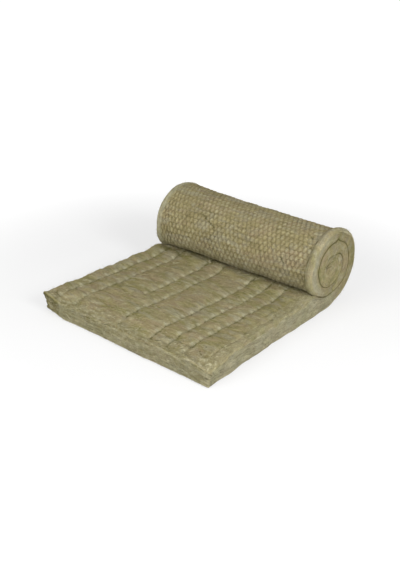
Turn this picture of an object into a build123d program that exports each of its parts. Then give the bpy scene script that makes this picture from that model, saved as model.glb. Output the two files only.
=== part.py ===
from build123d import *
from math import asin, cos, degrees, radians, sin
import os

# A wired mineral wool mat, partly unrolled. One end lies flat, the rest is wound into a roll that rests
# on the mat's far end. Hexagonal wire netting covers the face that is under the flat length and outside
# the roll, and lengthwise rows of stitching wire hold it there.
#
# Millimetres. X runs across the mat's width, Y from the free end towards the roll, Z up from the floor.

# The mat
mat_width = 1000
mat_thickness = 103
flat_reach = 950  # from the free end to the line below the middle of the roll
end_top_round = 24
end_foot_round = 8
end_corner_round = 18
side_round = 22

# The roll: every quarter turn of the netted face is a quarter ellipse, a step smaller than the last
roll_height = 410
turn_thickness = 66
roll_spread = 1.09  # how much wider than tall the wool settles
core_height = 44
left_flare = 20  # how far the bare wool past the netting stands out at each end of the roll
right_flare = 12
turn_line_width = 5
turn_line_depth = 14

# The netting
left_bare_margin = 40
right_bare_margin = 37
end_bare_margin = 12
netting_skin = 1.5

# The stitching
first_row_inset = 74
row_pitch = 97.5
row_dip = 7
sunken_rows = (2, 5)  # these, counted from 0 at the left side, are pulled under the wool and don't show
stitch_wire_diameter = 0.8
stitch_wire_clearance = 0.3

# Places that follow from the sizes
left_side = -mat_width / 2
right_side = mat_width / 2
netting_left = left_side + left_bare_margin
netting_right = right_side - right_bare_margin
quarter_step = turn_thickness / 4
first_radius = (roll_height + quarter_step) / 2
widest_radius = first_radius + max(left_flare, right_flare) / 2
overall_length = flat_reach + roll_spread * widest_radius
free_end = -overall_length / 2
roll_line = free_end + flat_reach
row_floor = mat_thickness - row_dip


def quarter_centre(number):
    """The centre of one quarter turn of the netted face, counted from the floor, as Y and Z."""
    shifted_back = number % 4 in (1, 2)
    shifted_up = number % 4 in (2, 3)
    y = roll_line + roll_spread * quarter_step * shifted_back
    z = first_radius + quarter_step * shifted_up
    return y, z


def quarter_arc(number, flare=0, inset=0, skip=0, stop=90):
    """One quarter turn of the netted face, or only its degrees from skip to stop."""
    y, z = quarter_centre(number)
    height = first_radius + flare / 2 - number * quarter_step
    EllipticalCenterArc(
        (y, z + flare / 2),
        roll_spread * height - inset,
        height - inset,
        start_angle=(number % 4) * 90 - 90 + skip,
        arc_size=stop - skip,
    )


def wedge_angle(height):
    """How far the fourth quarter turn, which starts at the roll's front, falls to reach this height."""
    y, z = quarter_centre(3)
    return degrees(asin((z - height) / (first_radius - 3 * quarter_step)))


def wedge_point(height, inset=0):
    """Where the fourth quarter turn, or a skin inside it, is when it reaches this height, as Y and Z."""
    y, z = quarter_centre(3)
    fall = radians(wedge_angle(height))
    radius = first_radius - 3 * quarter_step
    return y - (roll_spread * radius - inset) * cos(fall), z - (radius - inset) * sin(fall)


def roll_outline(flare=0):
    """The closed outline of the wound part, down to where its first turn ends inside it."""
    for number in range(4):
        quarter_arc(number, flare)
    Line((roll_line, turn_thickness), (roll_line, 0))


def shown_rows():
    """The rows of stitching that show, as X."""
    count = int((mat_width - 2 * first_row_inset) / row_pitch) + 1
    places = [left_side + first_row_inset + number * row_pitch for number in range(count)]
    return [place for number, place in enumerate(places) if number not in sunken_rows]


# The wire netting, as one skin let into the wool: under the flat length, around the roll and down to
# where the roll meets the flat length
with BuildPart() as wire_netting:
    with BuildSketch(Plane.YZ.offset(netting_left)) as netting_section:
        with BuildLine():
            netting_start = free_end + end_bare_margin
            reach_down = wedge_angle(mat_thickness)
            outer_floor = Line((netting_start, 0), (roll_line, 0))
            inner_floor = Line((netting_start, netting_skin), (roll_line, netting_skin))
            Line(outer_floor @ 0, inner_floor @ 0)
            for number in range(3):
                quarter_arc(number)
                quarter_arc(number, inset=netting_skin)
            quarter_arc(3, stop=reach_down)
            quarter_arc(3, inset=netting_skin, stop=reach_down)
            Line(wedge_point(mat_thickness), wedge_point(mat_thickness, netting_skin))
        make_face()
    extrude(amount=netting_right - netting_left)
wire_netting.part.label = "wire_netting"

# The wool: the flat length with its stitched pillows, the wound part, and the line between the turns
with BuildPart() as wool_mat:
    with BuildSketch(Plane.XZ.offset(-free_end)) as quilted_section:
        with BuildLine():
            Polyline((left_side, row_floor), (left_side, 0), (right_side, 0), (right_side, row_floor))
            creases = [left_side, *shown_rows(), right_side]
            for near, far in zip(creases, creases[1:]):
                crest = ((near + far) / 2, mat_thickness)
                ThreePointArc((near, row_floor), crest, (far, row_floor))
        make_face()
        top_corners = quilted_section.vertices().filter_by_position(Axis.Y, 1, mat_thickness)
        side_corners = top_corners.sort_by(Axis.X)
        fillet([side_corners[0], side_corners[-1]], radius=side_round)
    extrude(amount=-flat_reach)

    with BuildSketch(Plane.YZ.offset(left_side)) as flat_side_view:
        with Locations((free_end, 0)):
            Rectangle(flat_reach, mat_thickness, align=(Align.MIN, Align.MIN))
        end_corners = flat_side_view.vertices().sort_by(Axis.X)[:2].sort_by(Axis.Y)
        fillet(end_corners[0], radius=end_foot_round)
        end_corners = flat_side_view.vertices().group_by(Axis.Y)[-1].sort_by(Axis.X)
        fillet(end_corners[0], radius=end_top_round)
    extrude(amount=mat_width, mode=Mode.INTERSECT)

    with BuildSketch() as flat_plan:
        with Locations((0, free_end)):
            Rectangle(mat_width, flat_reach, align=(Align.CENTER, Align.MIN))
        fillet(flat_plan.vertices().group_by(Axis.Y)[0], radius=end_corner_round)
    extrude(amount=mat_thickness, mode=Mode.INTERSECT)

    with BuildSketch(Plane.YZ.offset(netting_left)) as roll_middle:
        with BuildLine():
            roll_outline()
        make_face()
    extrude(amount=netting_right - netting_left)

    with BuildSketch(Plane.YZ.offset(left_side)) as left_end:
        with BuildLine():
            roll_outline(left_flare)
        make_face()
    with BuildSketch(Plane.YZ.offset(netting_left)) as left_shoulder:
        with BuildLine():
            roll_outline()
        make_face()
    loft(ruled=True)

    with BuildSketch(Plane.YZ.offset(netting_right)) as right_shoulder:
        with BuildLine():
            roll_outline()
        make_face()
    with BuildSketch(Plane.YZ.offset(right_side)) as right_end:
        with BuildLine():
            roll_outline(right_flare)
        make_face()
    loft(ruled=True)

    last_quarter = int((first_radius - core_height / 2) / quarter_step)
    for side, flare, inward in ((left_side, left_flare, 1), (right_side, right_flare, -1)):
        with BuildSketch(Plane.YZ.offset(side)) as turn_line:
            with BuildLine():
                quarter_arc(3, flare, skip=wedge_angle(mat_thickness))
                for number in range(4, last_quarter):
                    quarter_arc(number, flare)
            trace(line_width=turn_line_width)
        extrude(amount=inward * turn_line_depth, mode=Mode.SUBTRACT)

    add(wire_netting.part, mode=Mode.SUBTRACT)
wool_mat.part.label = "wool_mat"

os.makedirs("parts", exist_ok=True)
export_step(wool_mat.part, "parts/wool_mat.step")
export_step(wire_netting.part, "parts/wire_netting.step")

# The stitching wires, each lying in its own dip from the free end to the roll
row_start = free_end + end_top_round
wire_top = row_floor + stitch_wire_diameter + 2 * stitch_wire_clearance
roll_front = wedge_point(wire_top)[0]
row_length = roll_front - stitch_wire_clearance - row_start
for number, row in enumerate(shown_rows(), start=1):
    with BuildPart() as stitch_wire:
        with BuildSketch(Plane.XZ.offset(-row_start)):
            with Locations((row, row_floor + stitch_wire_diameter / 2 + stitch_wire_clearance)):
                Circle(stitch_wire_diameter / 2)
        extrude(amount=-row_length)
    stitch_wire.part.label = f"stitch_wire_{number}"
    export_step(stitch_wire.part, f"parts/stitch_wire_{number}.step")
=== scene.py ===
import itertools

import bmesh
import bpy
import numpy as np
from mathutils import Matrix, Vector


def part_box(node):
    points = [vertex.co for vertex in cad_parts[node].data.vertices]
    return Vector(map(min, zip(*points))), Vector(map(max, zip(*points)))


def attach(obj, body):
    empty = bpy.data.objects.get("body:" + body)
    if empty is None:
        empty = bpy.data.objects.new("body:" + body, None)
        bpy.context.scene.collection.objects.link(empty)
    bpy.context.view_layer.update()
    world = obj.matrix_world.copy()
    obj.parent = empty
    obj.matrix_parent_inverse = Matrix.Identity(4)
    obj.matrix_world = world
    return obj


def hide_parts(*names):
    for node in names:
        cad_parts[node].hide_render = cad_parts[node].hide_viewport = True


bl_info = {
    "name": "Wired wool mat",
    "version": (1, 0, 0),
    "blender": (4, 5, 0),
    "location": "3D View > Sidebar > Wired mat",
    "description": "Makes the wool, netting and stitching of a partly unrolled wired mat",
    "category": "Object",
}

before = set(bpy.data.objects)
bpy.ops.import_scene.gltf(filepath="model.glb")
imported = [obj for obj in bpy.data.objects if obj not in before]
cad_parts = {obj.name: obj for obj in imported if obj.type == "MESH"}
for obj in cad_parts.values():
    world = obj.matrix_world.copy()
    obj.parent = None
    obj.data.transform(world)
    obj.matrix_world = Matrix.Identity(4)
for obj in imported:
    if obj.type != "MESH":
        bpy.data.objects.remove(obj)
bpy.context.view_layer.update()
WOOL_LOW, WOOL_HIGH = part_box("wool_mat")
NET_LOW, NET_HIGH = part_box("wire_netting")
STITCH_NODES = sorted(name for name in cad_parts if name.startswith("stitch_wire_"))
FADING_ROW = 2  # the row left of the middle, counted from 0 at the left
FULL_TURN = 2 * np.pi
MM = 0.001
TINY = 1e-9


# Sizes and colours


def length(name, default, description):
    """A length in metres that a user may change."""
    return bpy.props.FloatProperty(
        name=name, description=description, default=default, min=0, unit="LENGTH", precision=4
    )


def tint(name, default, description):
    """A colour, as the linear light that the surface gives back."""
    return bpy.props.FloatVectorProperty(
        name=name, description=description, default=default, min=0, max=1, size=3, subtype="COLOR"
    )


class MatShape(bpy.types.PropertyGroup):
    """How the mat lies and how its bare edges are worn round."""

    thickness: length("Thickness", 0.103, "Height of the flat length")
    flat_reach: length("Flat reach", 0.950, "From the free end to the line below the middle of the roll")
    roll_height: length("Roll height", NET_HIGH.z, "Top of the netted roll")
    turn_thickness: length("Turn thickness", 0.066, "Thickness of the mat where it is wound")
    left_squeeze: length("Left squeeze", 0.023, "How far the roll's left end is pressed in")
    end_top_round: length("End top round", 0.013, "Round of the free end's upper edge")
    end_foot_round: length("End foot round", 0.004, "Round of the free end's lower edge")
    side_round: length("Side round", 0.013, "Round of the flat length's right edge")
    roll_edge_round: length("Roll edge round", 0.019, "Round of the roll's end edges")
    slit_round: length("Slit round", 0.0030, "Round of the lips between two turns")
    slit_gap: length("Slit gap", 0.0032, "Gap between two turns")
    mound: length("Mound", 0.011, "How much the flat length swells up in front of the roll")
    undercut: length("Undercut", 0.018, "How far the roll draws in above the flat length")
    roll_spread: bpy.props.FloatProperty(
        name="Roll spread", description="How much wider than tall the roll has settled", default=1.09
    )
    turns_shown: bpy.props.FloatProperty(
        name="Turns shown", description="Turns of the netted face, up to the core", default=2.5
    )


class NettingShape(bpy.types.PropertyGroup):
    """The hexagonal netting and the wool that swells through it."""

    mesh_width: length("Mesh width", 0.0256, "Distance between two twists in one row")
    row_step: length("Row step", 0.0275, "Distance along the mat from one row of twists to the next")
    twist_length: length("Twist length", 0.0130, "Length of each twist")
    wire: length("Wire", 0.0008, "Thickness of the wire")
    puff_height: length("Puff height", 0.0046, "How far the wool swells through a mesh")
    end_margin: length("End margin", 0.012, "Bare wool at the free end of the underside")


class StitchShape(bpy.types.PropertyGroup):
    """The rows of stitches that quilt the flat length."""

    stitch_length: length("Stitch length", 0.058, "Distance from one stitch to the next")
    wire: length("Wire", 0.0009, "Thickness of the stitching wire")
    row_depth: length("Row depth", 0.0095, "How deep a row pulls the wool in")
    row_softness: length("Row softness", 0.013, "How far from a row the wool has risen again")
    hole_depth: length("Hole depth", 0.007, "How much deeper the wire pulls at a stitch")


class WoolLook(bpy.types.PropertyGroup):
    """Colours of the wool and of the wire."""

    khaki: tint("Khaki", (0.322, 0.280, 0.132), "Main colour of the wool")
    brown: tint("Brown", (0.370, 0.290, 0.164), "Browner patches")
    green: tint("Green", (0.278, 0.254, 0.096), "Greener patches")
    grey: tint("Grey", (0.378, 0.346, 0.232), "Greyer patches")
    # Pale is also the colour that the painted light mark mixes towards.
    pale: tint("Pale", (0.448, 0.424, 0.290), "Cut faces and fresh fibres")
    fresh: tint("Fresh", (0.600, 0.560, 0.370), "Loose fibres")
    # Shade is the colour of the painted shade in gaps, creases and holes.
    shade: tint("Shade", (0.096, 0.088, 0.018), "Gaps, creases and holes")
    zinc: tint("Zinc", (0.275, 0.250, 0.150), "Galvanised wire")


# Smooth steps and noise


def ease(value):
    """Rises from 0 to 1 as value does, by 3 v² - 2 v³, and is flat outside."""
    value = np.clip(value, 0, 1)
    return value * value * (3 - 2 * value)


def edge_drop(distance, radius):
    """How far a quarter round lies below its face: r - sqrt(r² - (r - distance)²), and 0 past r."""
    inside = np.clip(radius - distance, 0, None)
    return radius - np.sqrt(np.clip(radius**2 - inside**2, 0, None))


def noise(seed, *places):
    """Smooth noise from -1 to 1: seeded values on a unit lattice, eased from corner to corner."""
    count = 32
    lattice = np.random.default_rng(seed).uniform(-1, 1, (count,) * len(places))
    places = np.broadcast_arrays(*places)
    cells = [np.floor(place).astype(int) for place in places]
    parts = [ease(place - cell) for place, cell in zip(places, cells)]
    total = 0
    for corner in itertools.product((0, 1), repeat=len(places)):
        weight = 1
        for step, part in zip(corner, parts):
            weight = weight * (part if step else 1 - part)
        place = tuple((cell + step) % count for cell, step in zip(cells, corner))
        total = total + weight * lattice[place]
    return total


def rough_noise(seed, octaves, *places):
    """Octaves of noise added up, each twice as fine and half as strong as the last."""
    total = 0
    for octave in range(octaves):
        total = total + noise(seed + octave, *[place * 2**octave for place in places]) / 2**octave
    return total


def bump_at(along, across, reach):
    """A round bump: exp(-(a² + b²) / reach²)."""
    return np.exp(-(along**2 + across**2) / reach**2)


def bell(distance, reach):
    """A bell across a line: exp(-(distance / reach)²)."""
    return np.exp(-((distance / reach) ** 2))


def fading(distance, reach):
    """Fades away from a line: exp(-distance / reach)."""
    return np.exp(-distance / reach)


def stack(*parts):
    """The parts side by side in a last axis, each repeated to the shape of the largest."""
    return np.stack(np.broadcast_arrays(*parts), -1)


def table(place, values, unit=1):
    """Values by place, with straight lines between them, times their unit."""
    return np.interp(place, list(values), np.array(list(values.values())) * unit)


def layered(seed, run, share):
    """Relief and shade of a torn edge: about seven ragged layers, each set forward or back by noise, with a
    groove exp(-(place / 0.16)²) between two of them."""
    level = share * 7 + 0.9 * noise(seed, run / 0.12, share * 2.3)
    level = level + 0.35 * noise(seed + 1, run / 0.03, share * 7)
    number = np.floor(level)
    place = level - number
    offsets = [
        5.0 * MM * noise(seed + 2, run / 0.07, step * 3.7)
        + 2.2 * MM * noise(seed + 3, run / 0.018, step * 5.3)
        for step in (number, number + 1)
    ]
    blend = ease((place - 0.75) / 0.25)
    groove = bell(np.minimum(place, 1 - place), 0.16)
    uneven = ease(0.55 + 0.9 * noise(seed + 4, run / 0.05, number * 2.9))
    fine = 1.0 * MM * noise(seed + 5, run / 0.009, share * 26)
    relief = offsets[0] * (1 - blend) + offsets[1] * blend - 3.0 * MM * groove * uneven + fine
    return relief, groove * uneven


# How the mat lies


class Lie:
    """Where the mat's netted face and plain face are, by distance along the mat from its free end.

    The netted face runs flat on the floor, then winds up as quarter ellipses, each a step smaller than the
    last. The plain face is the top of the flat length, and inside the roll it meets the next turn.
    """

    def __init__(self, shape):
        self.shape = shape
        self.left = WOOL_LOW.x
        self.right = WOOL_HIGH.x
        self.free_end = WOOL_LOW.y
        self.reach = shape.flat_reach
        self.roll_line = self.free_end + shape.flat_reach
        self.step = shape.turn_thickness / 4
        self.first_radius = (shape.roll_height + self.step) / 2
        self.last_turn = shape.turns_shown * FULL_TURN
        self.turns = np.linspace(0, self.last_turn, 6000)
        y, z = self.spiral(self.turns)
        steps = np.hypot(np.diff(y), np.diff(z))
        self.runs = np.concatenate([[0], np.cumsum(steps)])
        self.front_radius = self.first_radius - 3 * self.step
        self.front_width = shape.roll_spread * self.front_radius

    def quarter(self, turn):
        """Centre and half axes of the quarter ellipse that the turn is in."""
        number = np.floor(np.clip(turn, 0, None) / (FULL_TURN / 4) + TINY).astype(int)
        height = self.first_radius - number * self.step
        y = self.roll_line + self.shape.roll_spread * self.step * np.isin(number % 4, (1, 2))
        z = self.first_radius + self.step * np.isin(number % 4, (2, 3))
        return y, z, self.shape.roll_spread * height, height

    def spiral(self, turn):
        """Y and Z of the netted face: centre + (width sin turn, -height cos turn)."""
        y, z, width, height = self.quarter(turn)
        return y + width * np.sin(turn), z - height * np.cos(turn)

    def out(self, turn):
        """The outward direction of the netted face, square to the ellipse."""
        width, height = self.quarter(turn)[2:]
        out_y = np.sin(turn) * height
        out_z = -np.cos(turn) * width
        size = np.hypot(out_y, out_z)
        return out_y / size, out_z / size

    def turn_at(self, along):
        """The turn that the netted face has reached."""
        return np.interp(along - self.reach, self.runs, self.turns)

    def along_at(self, turn):
        """The distance along the mat at which the netted face has turned so far."""
        return self.reach + np.interp(turn, self.turns, self.runs)

    def netted_place(self, along):
        """The turn, Y and Z of the netted face, and its outward direction."""
        turn = self.turn_at(along)
        y, z = self.spiral(turn)
        y = np.where(along > self.reach, y, self.free_end + along)
        return turn, y, z, *self.out(turn)

    def contact_turn(self, along):
        """The turn of the netted face that presses on the plain face at this distance along the mat."""
        y = self.free_end + along
        share = np.clip((y - self.roll_line) / self.front_width, -1, 0)
        under_roll = np.pi / 2 + FULL_TURN - np.arccos(share)
        return np.where(along < self.reach, under_roll, self.turn_at(along) + FULL_TURN)

    def contact_along(self, turn):
        """The distance along the mat at which the plain face meets this turn of the netted face."""
        on_flat = self.spiral(turn)[0] - self.free_end
        return np.where(turn < FULL_TURN, on_flat, self.along_at(turn - FULL_TURN))


# The faces of the wool


def drawn_together(netting):
    """How much closer the netting's rows are in the lattice of mesh centres than on the mat, so that the
    borders between its meshes get twists of the right length: (width / 2) / sqrt(step (step - twist))."""
    step = netting.row_step
    return netting.mesh_width / 2 / np.sqrt(step * (step - netting.twist_length))


class WoolFaces:
    """The relief on each face of the wool, as arrays over distance along the mat and X. Its noises are
    seeded one by one, so each keeps its pattern when another changes."""

    def __init__(self, shape, netting, stitches):
        self.shape = shape
        self.netting = netting
        self.stitches = stitches
        self.lie = Lie(shape)
        self.mouth_turn = float(self.lie.contact_turn(np.array(self.mouth_along())))
        self.net_left = NET_LOW.x
        self.net_right = NET_HIGH.x
        boxes = [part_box(name) for name in STITCH_NODES]
        self.row_places = sorted((low.x + high.x) / 2 for low, high in boxes)

    def mouth_along(self):
        """Distance along the mat at which the roll's front comes down to the flat length: where its quarter
        ellipse is as high as the mound, less most of what the roll is drawn in there."""
        lie = self.lie
        contact = self.shape.thickness + self.shape.mound - 0.85 * self.shape.undercut
        fall = (lie.first_radius + lie.step - contact) / lie.front_radius
        return self.shape.flat_reach - lie.front_width * np.sqrt(1 - fall**2)

    def from_end(self, x):
        """Distance from the nearer side edge of the mat."""
        return np.minimum(x - self.lie.left, self.lie.right - x)

    def inside_netting(self, x):
        """Distance from the nearer side edge of the netting."""
        return np.minimum(x - self.net_left, self.net_right - x)

    def netted_share(self, x):
        """1 under the netting and 0 on the bare margins."""
        return ease(self.inside_netting(x) / (2 * MM) + 0.5)

    def past_netting(self, x):
        """0 under the netting, and up to 1 at the right side edge."""
        return np.clip((x - self.net_right) / (self.lie.right - self.net_right), 0, 1)

    def lifted(self, turn):
        """0 where the netted face lies on the floor, and 1 once it has left it."""
        return ease((turn - 0.12) / 0.35)

    def sway(self, along, x):
        """How far the netting's meshes are moved sideways."""
        return 1.6 * MM * noise(11, along / 0.19, x / 0.23)

    def creep(self, along, x):
        """How far the netting's meshes are moved lengthwise."""
        return 2.2 * MM * noise(12, along / 0.23, x / 0.17)

    def cells(self, along, x):
        """Place in the netting's meshes: columns across, rows along, bent a little by slow noise."""
        column = (x - self.net_left + self.sway(along, x)) / self.netting.mesh_width
        row = (along - self.netting.end_margin + self.creep(along, x)) / self.netting.row_step
        return column, row

    def wire_distance(self, column, row):
        """Distance to the nearest wire and a number for the mesh: the border between the two nearest
        centres of a staggered lattice."""
        width = self.netting.mesh_width
        row_height = self.netting.row_step * drawn_together(self.netting)
        nearest = []
        for row_number in (np.floor(row), np.floor(row) + 1):
            shift = 0.5 * (row_number % 2)
            centre = np.round(column - shift) + shift
            across = (column - centre) * width
            down = (row - row_number) * row_height
            nearest.append((across**2 + down**2, across, centre * 7.13 + row_number * 3.71))
        (first, first_across, first_key), (second, second_across, second_key) = nearest
        spacing = np.hypot(width / 2, row_height)
        between_rows = 1.5 * np.abs(first - second) / (2 * spacing)
        across = np.where(first < second, first_across, second_across)
        key = np.where(first < second, first_key, second_key)
        return np.minimum(between_rows, width / 2 - np.abs(across)), key

    def flare(self, turn, x):
        """How far the bare wool past the netting stands out at each end, by the degrees it has turned."""
        degrees = np.degrees(turn)
        left = table(degrees, {0: 0, 40: 0, 100: 3, 150: 2, 230: 2, 270: 1, 330: 8}, MM)
        right = table(degrees, {
            0: 0, 30: 8, 60: 14, 90: 15, 130: 14, 155: 7, 180: 9, 230: 8, 270: 4, 320: 0, 350: 5,
        }, MM)
        left = left * ease((self.net_left - x) / (0.6 * (self.net_left - self.lie.left)))
        right = right * ease((x - self.net_right) / (0.45 * (self.lie.right - self.net_right)))
        uneven = 1 + 0.25 * noise(21, turn * 2.1, np.sign(x) * 3.5)
        lip = 4 * MM * (1 - self.netted_share(x))
        return (left + right) * uneven + lip * ease((turn - 0.25) / 0.6)

    def crumple(self, turn, x):
        """How far the netted face strays from a smooth spiral: drawn in above the flat length, and near the
        roll's ends crumpled, on the right as a table of turns in radians says."""
        right = table(turn, {
            5.2: 0, 5.5: 7, 5.85: 1, 6.1: -10, 6.4: -18, 6.7: -12, 7.0: -1, 7.15: 5, 7.35: 14, 7.75: 10,
            8.2: 4, 8.5: 8, 8.95: 3, 9.13: 4, 9.27: 16, 9.38: 1, 10.0: 3, 10.4: 7, 10.75: 3, 11.0: 0,
            11.35: -8, 11.8: -5, 12.25: -2, 12.85: 0, 13.4: 8, 13.8: 23, 14.15: 25, 14.6: 19, 14.95: 15,
            15.2: 9, 15.4: 0,
        }, MM)
        left = 5 * MM * noise(27, turn * 1.3, 0.5)
        left = left * ease((turn - 5.4) / 0.5) * ease((self.lie.last_turn - turn) / 0.8)
        near_end = ease(1 - self.from_end(x) / (60 * MM))
        drawn_in = self.shape.undercut * bell(turn - 5.75, 0.38)
        return np.where(x > 0, right, left) * near_end - drawn_in

    def slit_open(self, turn, x):
        """How open the gap between two turns is, from 0 to 1: on the right as a table of turns says."""
        right = table(turn, {
            5.5: 1.0, 5.8: 0.8, 6.0: 0.6, 7.0: 0.6, 8.2: 0.65, 8.8: 0.4, 9.1: 0.5, 9.3: 1.0, 10.6: 1.0,
            11.3: 0.8, 11.9: 0.55, 12.5: 0.45, 13.4: 0.45, 14.1: 0.6, 15.3: 0.7,
        })
        left = 0.55 + 0.4 * noise(28, turn * 0.9, 0.5)
        return np.where(x > 0, right, left)

    def slow_rise(self, along, x, turn):
        """The roll's taper over its top, thicker towards its left end, and soft lumps as wide as a hand."""
        rise = table(x, {
            -0.47: 16, -0.38: 12, -0.30: 7, -0.20: 5, -0.10: 0, 0.0: -2, 0.20: -6, 0.42: -6, 0.47: -2,
        }, MM)
        over_top = table(np.degrees(turn), {
            30: 0, 60: 0.3, 100: 0.8, 150: 1, 210: 1, 240: 0.75, 270: 0.2, 300: 0,
        })
        lumps = 3.0 * MM * noise(14, along / 0.17, x / 0.21) + 1.2 * MM * noise(15, along / 0.05, x / 0.06)
        return rise * over_top + lumps

    def side_shift(self, along, x):
        """How far the bare margins are moved sideways: the flat length bulges a little past its sides, and
        the roll's left end is pressed in."""
        turn = self.lie.turn_at(along)
        squeeze = self.shape.left_squeeze * (1 - 0.1 * ease((turn - 4.6) / 0.5))
        left = -4 * MM + (squeeze + 4 * MM) * ease((turn - 0.05) / 0.9)
        rough = 2.5 * MM * noise(22, along / 0.045, 0.5) + 1.6 * MM * noise(19, along / 0.014, 0.5)
        left = left + rough * (along < self.lie.reach)
        right = table(along, {
            0.0: 17, 0.025: 9, 0.06: 12, 0.11: 14, 0.16: 12, 0.21: 9, 0.26: 5, 0.55: 2, 0.62: 5,
            0.90: 1, 1.00: -1, 1.15: 0,
        }, MM)
        ragged = 3 * MM * noise(23, along / 0.04, 0.5) + 1.6 * MM * noise(29, along / 0.013, 0.5)
        right = right + ragged * ease((1.0 - along) / 0.1)
        left = left * np.clip(1 - (x - self.lie.left) / (130 * MM), 0, 1)
        return left + right * self.past_netting(x)

    def netted(self, along, x):
        """X, Y, Z and the painted shade and painted light marks of the netted face."""
        shape = self.shape
        lie = self.lie
        turn, y, z, out_y, out_z = lie.netted_place(along)
        from_end = self.from_end(x)
        lifted = self.lifted(turn)
        in_slit = ease((turn - self.mouth_turn + 0.05) / 0.12)
        distance, key = self.wire_distance(*self.cells(along, x))
        swell = 1 - (1 - np.clip(distance / (9.5 * MM), 0, 1)) ** 2.8
        size = 1 + 0.35 * noise(13, key, key * 0.37)
        puffs = (self.netting.puff_height * swell * size - 3.4 * MM) * self.netted_share(x)
        fine = 0.6 * MM * noise(16, along / 0.011, x / 0.011)
        creases, crease_shade = self.roll_creases(along, x)
        flare = self.flare(turn, x)
        rise = puffs + self.slow_rise(along, x, turn) + fine - creases + flare
        rise = lifted * (1 - in_slit) * rise + in_slit * flare * 0.8 + self.crumple(turn, x)
        ending = ease((lie.last_turn - turn) / 0.5) * self.slit_open(turn, x)
        rise = rise - in_slit * ending * shape.slit_gap / 2 - (1 - lifted) * 1.5 * MM
        edge_round = np.where(x < 0, 0.5, 1.0) * shape.roll_edge_round
        rounds = 2 * MM + (edge_round - 2 * MM) * lifted * (1 - in_slit)
        rounds = rounds * (1 + 0.25 * noise(17, along / 0.06, np.sign(x)) * (1 - in_slit))
        rounds = rounds * (1 - in_slit) + in_slit * ending * shape.slit_round
        rise = rise - edge_drop(from_end, rounds + TINY)
        y = y + self.end_inset(along, x, 0.0) + out_y * rise
        z = z + out_z * rise

        # Painted shade in the creases, in the gap between the turns and beside the netting's edge; painted
        # light on the puffs, the collars and the roll's foot.
        painted_shade = np.clip(crease_shade, 0, 1) * (1 - in_slit)
        painted_shade = painted_shade + self.slit_shade(turn, x) * ease((turn - self.mouth_turn) / 0.15)
        outside = lifted * (1 - in_slit)
        painted_shade = np.clip(painted_shade + self.collar_shade(along, x, turn, outside), 0, 1)
        light = np.clip(self.netted_light(along, x, turn, distance, key) * outside, 0, 1)
        foot = 4 * MM * noise(30, along / 0.036, np.sign(x)) * ease((lie.reach - along) / 0.1)
        return x + self.side_shift(along, x) + foot * self.past_netting(x), y, z, painted_shade, light

    def collar_shade(self, along, x, turn, outside):
        """Shade mark beside the netting's edge, broken into dashes, and on the collars' rims."""
        edge_line = bell(self.inside_netting(x) + 1 * MM, 3.6 * MM)
        dash = np.where(x > 0, 0.018, 0.05)
        dashes = np.where(x > 0, 0.5, 0.28) * (1 + noise(24, along / dash, np.sign(x)))
        far_side = ease((turn - 0.5) / 0.6) * ease((3.7 - turn) / 0.6)
        far_rim = 0.35 * fading(self.from_end(x), 9 * MM) * far_side
        near_rim = 0.15 * (1 - self.netted_share(x)) * ease((turn - 2.6) / 0.6)
        return dashes * edge_line * outside + (far_rim + near_rim * outside) * (x > 0)

    def netted_light(self, along, x, turn, distance, key):
        """Painted light on the puffs that swell through the meshes, on the collars and on the roll's foot.
        """
        netted = self.netted_share(x)
        # Painted light: highlights on the middles of the puffs, as strong as the noise worn says, on the
        # collars and on the roll's foot.
        worn = ease(0.5 + 0.9 * noise(25, along / 0.07, x / 0.09))
        puffs = ease((distance - 3 * MM) / (5 * MM)) * (0.26 + 0.22 * noise(26, key * 1.7, key * 0.53))
        collar = (1 - netted) * (0.34 + 0.2 * noise(18, along / 0.05, x / 0.03))
        collar = collar * (0.25 + np.where(x > 0, 0.1, 0.75) * ease((turn - 2.9) / 0.9))
        low = 0.35 * ease((turn - 4.6) / 0.7) * np.where(x > 0, 0.3 + 0.7 * netted, 1)
        return puffs * (0.4 + worn) * netted + collar + low

    def slit_shade(self, turn, x):
        """Shade mark of both walls of the gap: darkest 10 mm in, and lighter where it is nearly closed."""
        from_end = self.from_end(x)
        deep = 0.75 + 0.2 * ease((from_end - 2 * MM) / (8 * MM)) - 0.4 * ease(from_end / (30 * MM))
        return deep * (0.35 + 0.65 * self.slit_open(turn, x))

    def covered(self, along, x):
        """1 where the next turn lies on the plain face, and 0 on the ledge of the flat length that the
        pressed-in roll leaves bare at the left."""
        ledge = (self.shape.left_squeeze + 1 * MM) * (1 - ease((self.lie.turn_at(along) - 0.05) / 0.9))
        return ease((x - self.lie.left - ledge) / (6 * MM) + 1)

    def roll_creases(self, along, x):
        """Depth and painted shade of the few deep creases across the netted roll."""
        depth = 0
        mark = 0
        for start, end, deep in ROLL_CREASES:
            across, run = line_distance(along, x, start, end)[:2]
            fade = ease(run / 0.2) * ease((1 - run) / 0.2)
            depth = depth + deep * MM * fade * bell(across, 4 * MM)
            mark = mark + fade * bell(across, 2.6 * MM)
        return depth, mark

    def end_inset(self, along, x, share):
        """How far the free end's line is set back at a share of the thickness: a ragged line, a worn right
        corner, and at the left corner a foot that is torn away under a pointed tip."""
        fade = ease(1 - along / 0.12)
        corner = edge_drop(self.lie.right - x, 2 * MM + 14 * MM * share)
        torn = 24 * MM * np.clip((-0.36 - x) / 0.14, 0, 1) * (1 - share)
        ragged = 3 * MM * noise(31, x / 0.11, 0.5) + 2 * MM * noise(32, x / 0.032, 0.5) - 7 * MM
        return fade * (corner + torn + ragged)

    def sharp_end(self, x):
        """How much smaller the free end's upper round is towards the left corner, which is a sharp tip."""
        return (self.shape.end_top_round - 4 * MM) * (1 - ease((x + 0.46) / 0.14))

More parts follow.
